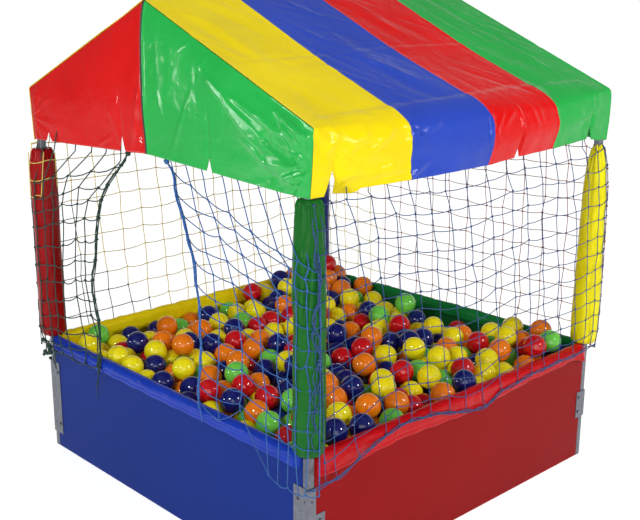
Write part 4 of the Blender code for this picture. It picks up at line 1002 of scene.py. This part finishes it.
def green_x(c, z):
    """Where column c of the leaf is at height z; column 7 goes round the post and bends in below."""
    if c == 7:
        return -CORNER_U + 0.075 * min(max((0.46 - z) / 0.08, 0), 1)
    edge, second, far = (float(through(z, curve)) for curve in (GREEN_EDGE, GREEN_SECOND, GREEN_FAR))
    if c <= 1:
        return edge + (second - edge) * c
    if c <= 3:
        return second + (far - second) * (c - 1) / 2
    return far + (-0.655 - far) * (c - 3) / 3.6


rng = np.random.default_rng(104)
leaf = Cords()
columns = []
for c in range(8):
    column = [(green_x(c, RAIL_Z), RAIL_Z if c < 7 else 1.084), (green_x(c, 1.084), 1.082)]
    for z_edge in GREEN_ROWS:
        edge = float(through(z_edge, GREEN_EDGE))
        z = z_edge
        for _ in range(3):
            x = green_x(c, z)
            z = z_edge - 0.24 * abs(x - edge) * min(1.0, (z_edge - 0.34) / 0.3)
        column.append((x, z))
    columns.append(column)
weave_net("front", columns, lambda p: leaf, rng, 0.0050, 0.0044, 0.006, 0.0020)
# its tail over the front rim, and the clump of knots above the corner
tail = net_place("front", [-0.56, -0.555, -0.548, -0.553, -0.549], [0.40, 0.383, 0.36, 0.34, 0.322], 0.004)
leaf.tube(tail, 0.0022)
leaf.tube(net_place("front", [-0.545, -0.56, -0.566, -0.561], [0.39, 0.37, 0.352, 0.335], 0.003), 0.0018)
for _ in range(12):
    clump = net_place("front", rng.uniform(-0.632, -0.578), rng.uniform(0.350, 0.412), 0.003)[0]
    leaf.knot(clump, rng.uniform(0.0050, 0.0085), rng, 7, 5)
obj = leaf.build("net_front_left_cords", "net_green", "net_front_left", "net_green", None)
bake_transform(obj)

# the doorway's blue leaf: x at heights, of its edge, the height of its border along x, and each row's height
# at the edge with its fall toward the post
BLUE_EDGE = table(2, 3760, 2320, 4400, 2160, 5350, 2290, 6110, 2360, 6550, 2330, 7420, 2320, 7820, 2200, 8470,
                  2140, 9040, 1900, 9520, 1740, 10020, 1490, 10480, 1230, 10870, 1020, 11090, 750, 12300, 450)
BLUE_BORDER = table(2, 1900, 4550, 2160, 4350, 2550, 3880, 2830, 3970, 3300, 4400, 3810, 4710, 4300, 4550, 4920,
                    4120, 5150, 3450, 6000, 3150, 6800, 3150)
BLUE_ROWS = table(2, 10760, 2700, 10200, 2200, 9650, 2000, 9050, 1700, 8450, 1500, 7820, 1400, 7220, 1300, 6600,
                  1200, 6000, 1100, 5400, 1000, 4850, 900, 4400, 0)
BLUE_END = 0.706                 # beyond the corner, on the +X side


def blue_x(c, z):
    """Where column c of the leaf is at height z; column 8 goes round the post."""
    edge = float(through(z, BLUE_EDGE))
    apart = 0.068 + 0.030 * ((1.1 - z) / 0.4) * (c / 4)
    return BLUE_END if c == 8 else min(edge + c * apart, BLUE_END - 0.032 * (8 - c))


rng = np.random.default_rng(105)
leaf = Cords()
columns = []
for c in range(9):
    column = ([(BLUE_END, 1.084), (BLUE_END, 1.082)] if c == 8 else
              [(min(0.045 + 0.07 * c, 0.61), RAIL_Z), (min(0.10 + 0.072 * c, 0.63), 1.082)])
    for r, (z_edge, fall) in enumerate(BLUE_ROWS):
        edge = float(through(z_edge, BLUE_EDGE))
        z = z_edge
        for _ in range(3):
            x = blue_x(c, z)
            z = z_edge - fall * (x - edge) - (0.010 if c == 1 and r > 0 else 0)
        border, above = float(at(x, BLUE_BORDER)), len(BLUE_ROWS) - 1 - r
        column.append((x, max(z, border + 0.018 * above) if above else border))
    columns.append(column)
weave_net("front", columns, lambda p: leaf, rng, 0.004, sag=0.005, radius=0.0016)
obj = leaf.build("net_front_right_cords", "net_blue", "net_front_right", "net_blue", None)
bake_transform(obj)

# the doorway's gathered edges: three strands laid round each other, with the nets' knots on them
ROPE_TOP = 1.112
for side, edge, bottom, mat, slot_name, rows, seed in (
        ("left", GREEN_EDGE, 0.278, "net_green", "net_green", GREEN_ROWS, 106),
        ("right", BLUE_EDGE, 0.376, "net_rope", "net_blue", [row[0] for row in BLUE_ROWS], 107)):
    rng = np.random.default_rng(seed)
    gathered = Cords()
    z = np.linspace(ROPE_TOP, bottom, 110)
    for strand in range(3):
        angle = 2 * math.pi * strand / 3 + (ROPE_TOP - z) * 52 + 0.8 * np.sin(z * 31 + strand)
        spread = 0.0021 + 0.0006 * np.sin(z * 47 + 2 * strand)
        path = net_place("front", through(z, edge) + spread * np.cos(angle), z, 0.0045 + spread * np.sin(angle))
        gathered.tube(path[:len(z) - 6 * strand], TWINE, 6)
    for place_z in rows[:-1]:
        centre = net_place("front", float(through(place_z, edge)), place_z, 0.0045)[0]
        gathered.knot(centre, rng.uniform(0.0036, 0.0052), rng, 8, 6)
    gathered.knot(net_place("front", float(through(1.106, edge)), 1.106, 0.0045)[0], 0.0075, rng, 10, 8)
    gathered.build("edge_cord_" + side, mat, "doorway_rope_" + side, slot_name, side + "_edge")

# ---------------------------------------------------------------- play balls
PIT_REACH = 0.6195 - BALL
LOOSE = ["loose_ball_" + colour for colour in ("yellow", "orange", "red", "navy", "lime")]


def surface(x, y):
    """How high the tops of the balls lie: level with the rims, heaped in two corners, low along two walls."""
    def mound(middle_x, middle_y, wide_x, wide_y):
        return np.exp(-((x - middle_x) / wide_x) ** 2 - ((y - middle_y) / wide_y) ** 2)

    return (0.420 + 0.085 * mound(-0.47, 0.50, 0.18, 0.18) + 0.014 * mound(0.1, -0.05, 0.45, 0.40)
            + 0.058 * mound(0.50, 0.56, 0.16, 0.15) - 0.085 * mound(-0.04, 0.64, 0.29, 0.17)
            - 0.022 * mound(-0.62, -0.15, 0.14, 0.45))


def pile():
    """Places for the balls: each is let down where the pile is lowest, and rolls to rest."""
    rng = np.random.default_rng(3)
    size = 2 * BALL * 1.002
    loose = {}
    for node in LOOSE:
        low, high = (np.array(corner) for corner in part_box(node))
        loose[node] = (low + high) / 2
    # three balls under each loose one hold it up
    centres = []
    for centre in loose.values():
        turn_by = rng.uniform(0, 2 * math.pi)
        for k in range(3):
            a = turn_by + 2 * math.pi * k / 3
            r = size / math.sqrt(3)
            centres.append(centre + (r * math.cos(a), r * math.sin(a), -size * math.sqrt(2 / 3)))
    support = len(centres)
    guard = np.array(list(loose.values()))
    placed = np.concatenate([centres, guard])
    base = 0.235                 # the lowest balls' middles
    compass = np.array([(math.cos(a), math.sin(a)) for a in np.linspace(0, 2 * math.pi, 13)[:-1]])

    def height(spots):
        gap = ((spots[:, None, :] - placed[None, :, :2]) ** 2).sum(2)
        over = np.where(gap < size ** 2, placed[None, :, 2] + np.sqrt(np.clip(size ** 2 - gap, 0, None)), base)
        return over.max(1)

    misses = 0
    while misses < 60 and len(placed) < 1500:
        spots = rng.uniform(-PIT_REACH, PIT_REACH, (24, 2))
        room = height(spots) - surface(spots[:, 0], spots[:, 1]) + BALL
        spot = spots[room.argmin()]
        step = 0.020
        best = height(spot[None])[0]
        while step > 0.0003:
            tries = np.clip(spot + step * compass, -PIT_REACH, PIT_REACH)
            values = height(tries)
            k = values.argmin()
            if values[k] < best - 1e-6:
                best, spot = values[k], tries[k]
            else:
                step *= 0.5
        near = np.hypot(*(guard[:, :2] - spot).T)
        bad = ((near < size * 1.01) & (best > guard[:, 2] - 0.002)).any()
        if bad or best + BALL > surface(*spot) + 0.022:
            misses += 1
            continue
        misses = 0
        placed = np.vstack([placed, (*spot, best)])
    return np.vstack([placed[:support], placed[support + len(loose):]]), loose


def ball_template(segments, rings):
    """A hollow play ball: a sphere with a raised moulding seam and a small dimple at each pole."""
    half_pi = math.pi / 2
    lats = [lat for lat in np.linspace(0, math.pi, rings + 1)[1:-1] if abs(lat - half_pi) > 0.05]
    lats += [0.055, 0.105, half_pi - 0.030, half_pi, half_pi + 0.030, math.pi - 0.105, math.pi - 0.055]
    verts = [(0, 0, BALL * 0.978)]
    for lat in sorted(lats):
        r = BALL * (1.0025 if abs(lat - half_pi) < 0.01 else 0.982 if min(lat, math.pi - lat) < 0.06 else 1.0)
        for lon in turns(segments):
            across = r * math.sin(lat)
            verts.append((across * math.cos(lon), across * math.sin(lon), r * math.cos(lat)))
    verts.append((0, 0, -BALL * 0.978))
    return np.array(verts), globe(segments, len(lats))


def random_turn(rng):
    w, x, y, z = unit(rng.normal(size=4))
    return np.array([[1 - 2 * (y * y + z * z), 2 * (x * y - z * w), 2 * (x * z + y * w)],
                     [2 * (x * y + z * w), 1 - 2 * (x * x + z * z), 2 * (y * z - x * w)],
                     [2 * (x * z - y * w), 2 * (y * z + x * w), 1 - 2 * (x * x + y * y)]])


def balls_mesh(name, centres, colour, rng, body, template, nodes):
    """Balls of one colour, each turned at random, which replace CAD pieces."""
    verts, faces = template
    all_verts, all_faces = [], []
    for k, centre in enumerate(centres):
        all_verts.append(verts @ random_turn(rng).T + centre)
        all_faces += [tuple(i + k * len(verts) for i in face) for face in faces]
    obj = add_mesh(name, np.concatenate(all_verts), all_faces, "ball_" + colour, None, body)
    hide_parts(*nodes)
    {"navy": "ball_blue", "lime": "ball_green"}.get(colour, "ball_" + colour)


centres, loose = pile()
rng = np.random.default_rng(11)
SHARES = {"yellow": 0.29, "orange": 0.22, "navy": 0.22, "red": 0.16, "lime": 0.11}
FILL = ("ball_fill", "ball_layer")
colour_of = rng.choice(len(SHARES), len(centres), p=list(SHARES.values()))
fine, plain = ball_template(24, 12), ball_template(14, 8)
on_top = centres[:, 2] > surface(centres[:, 0], centres[:, 1]) - 0.125
for k, colour in enumerate(SHARES):
    balls_mesh("balls_" + colour, centres[(colour_of == k) & on_top], colour, rng, "pit", fine, FILL)
    balls_mesh("balls_under_" + colour, centres[(colour_of == k) & ~on_top], colour, rng, "pit", plain, FILL)
for node, centre in loose.items():
    colour = node.split("_")[-1]
    balls_mesh("free_ball_" + colour, [centre], colour, rng, node + "_body", ball_template(40, 20), (node,))
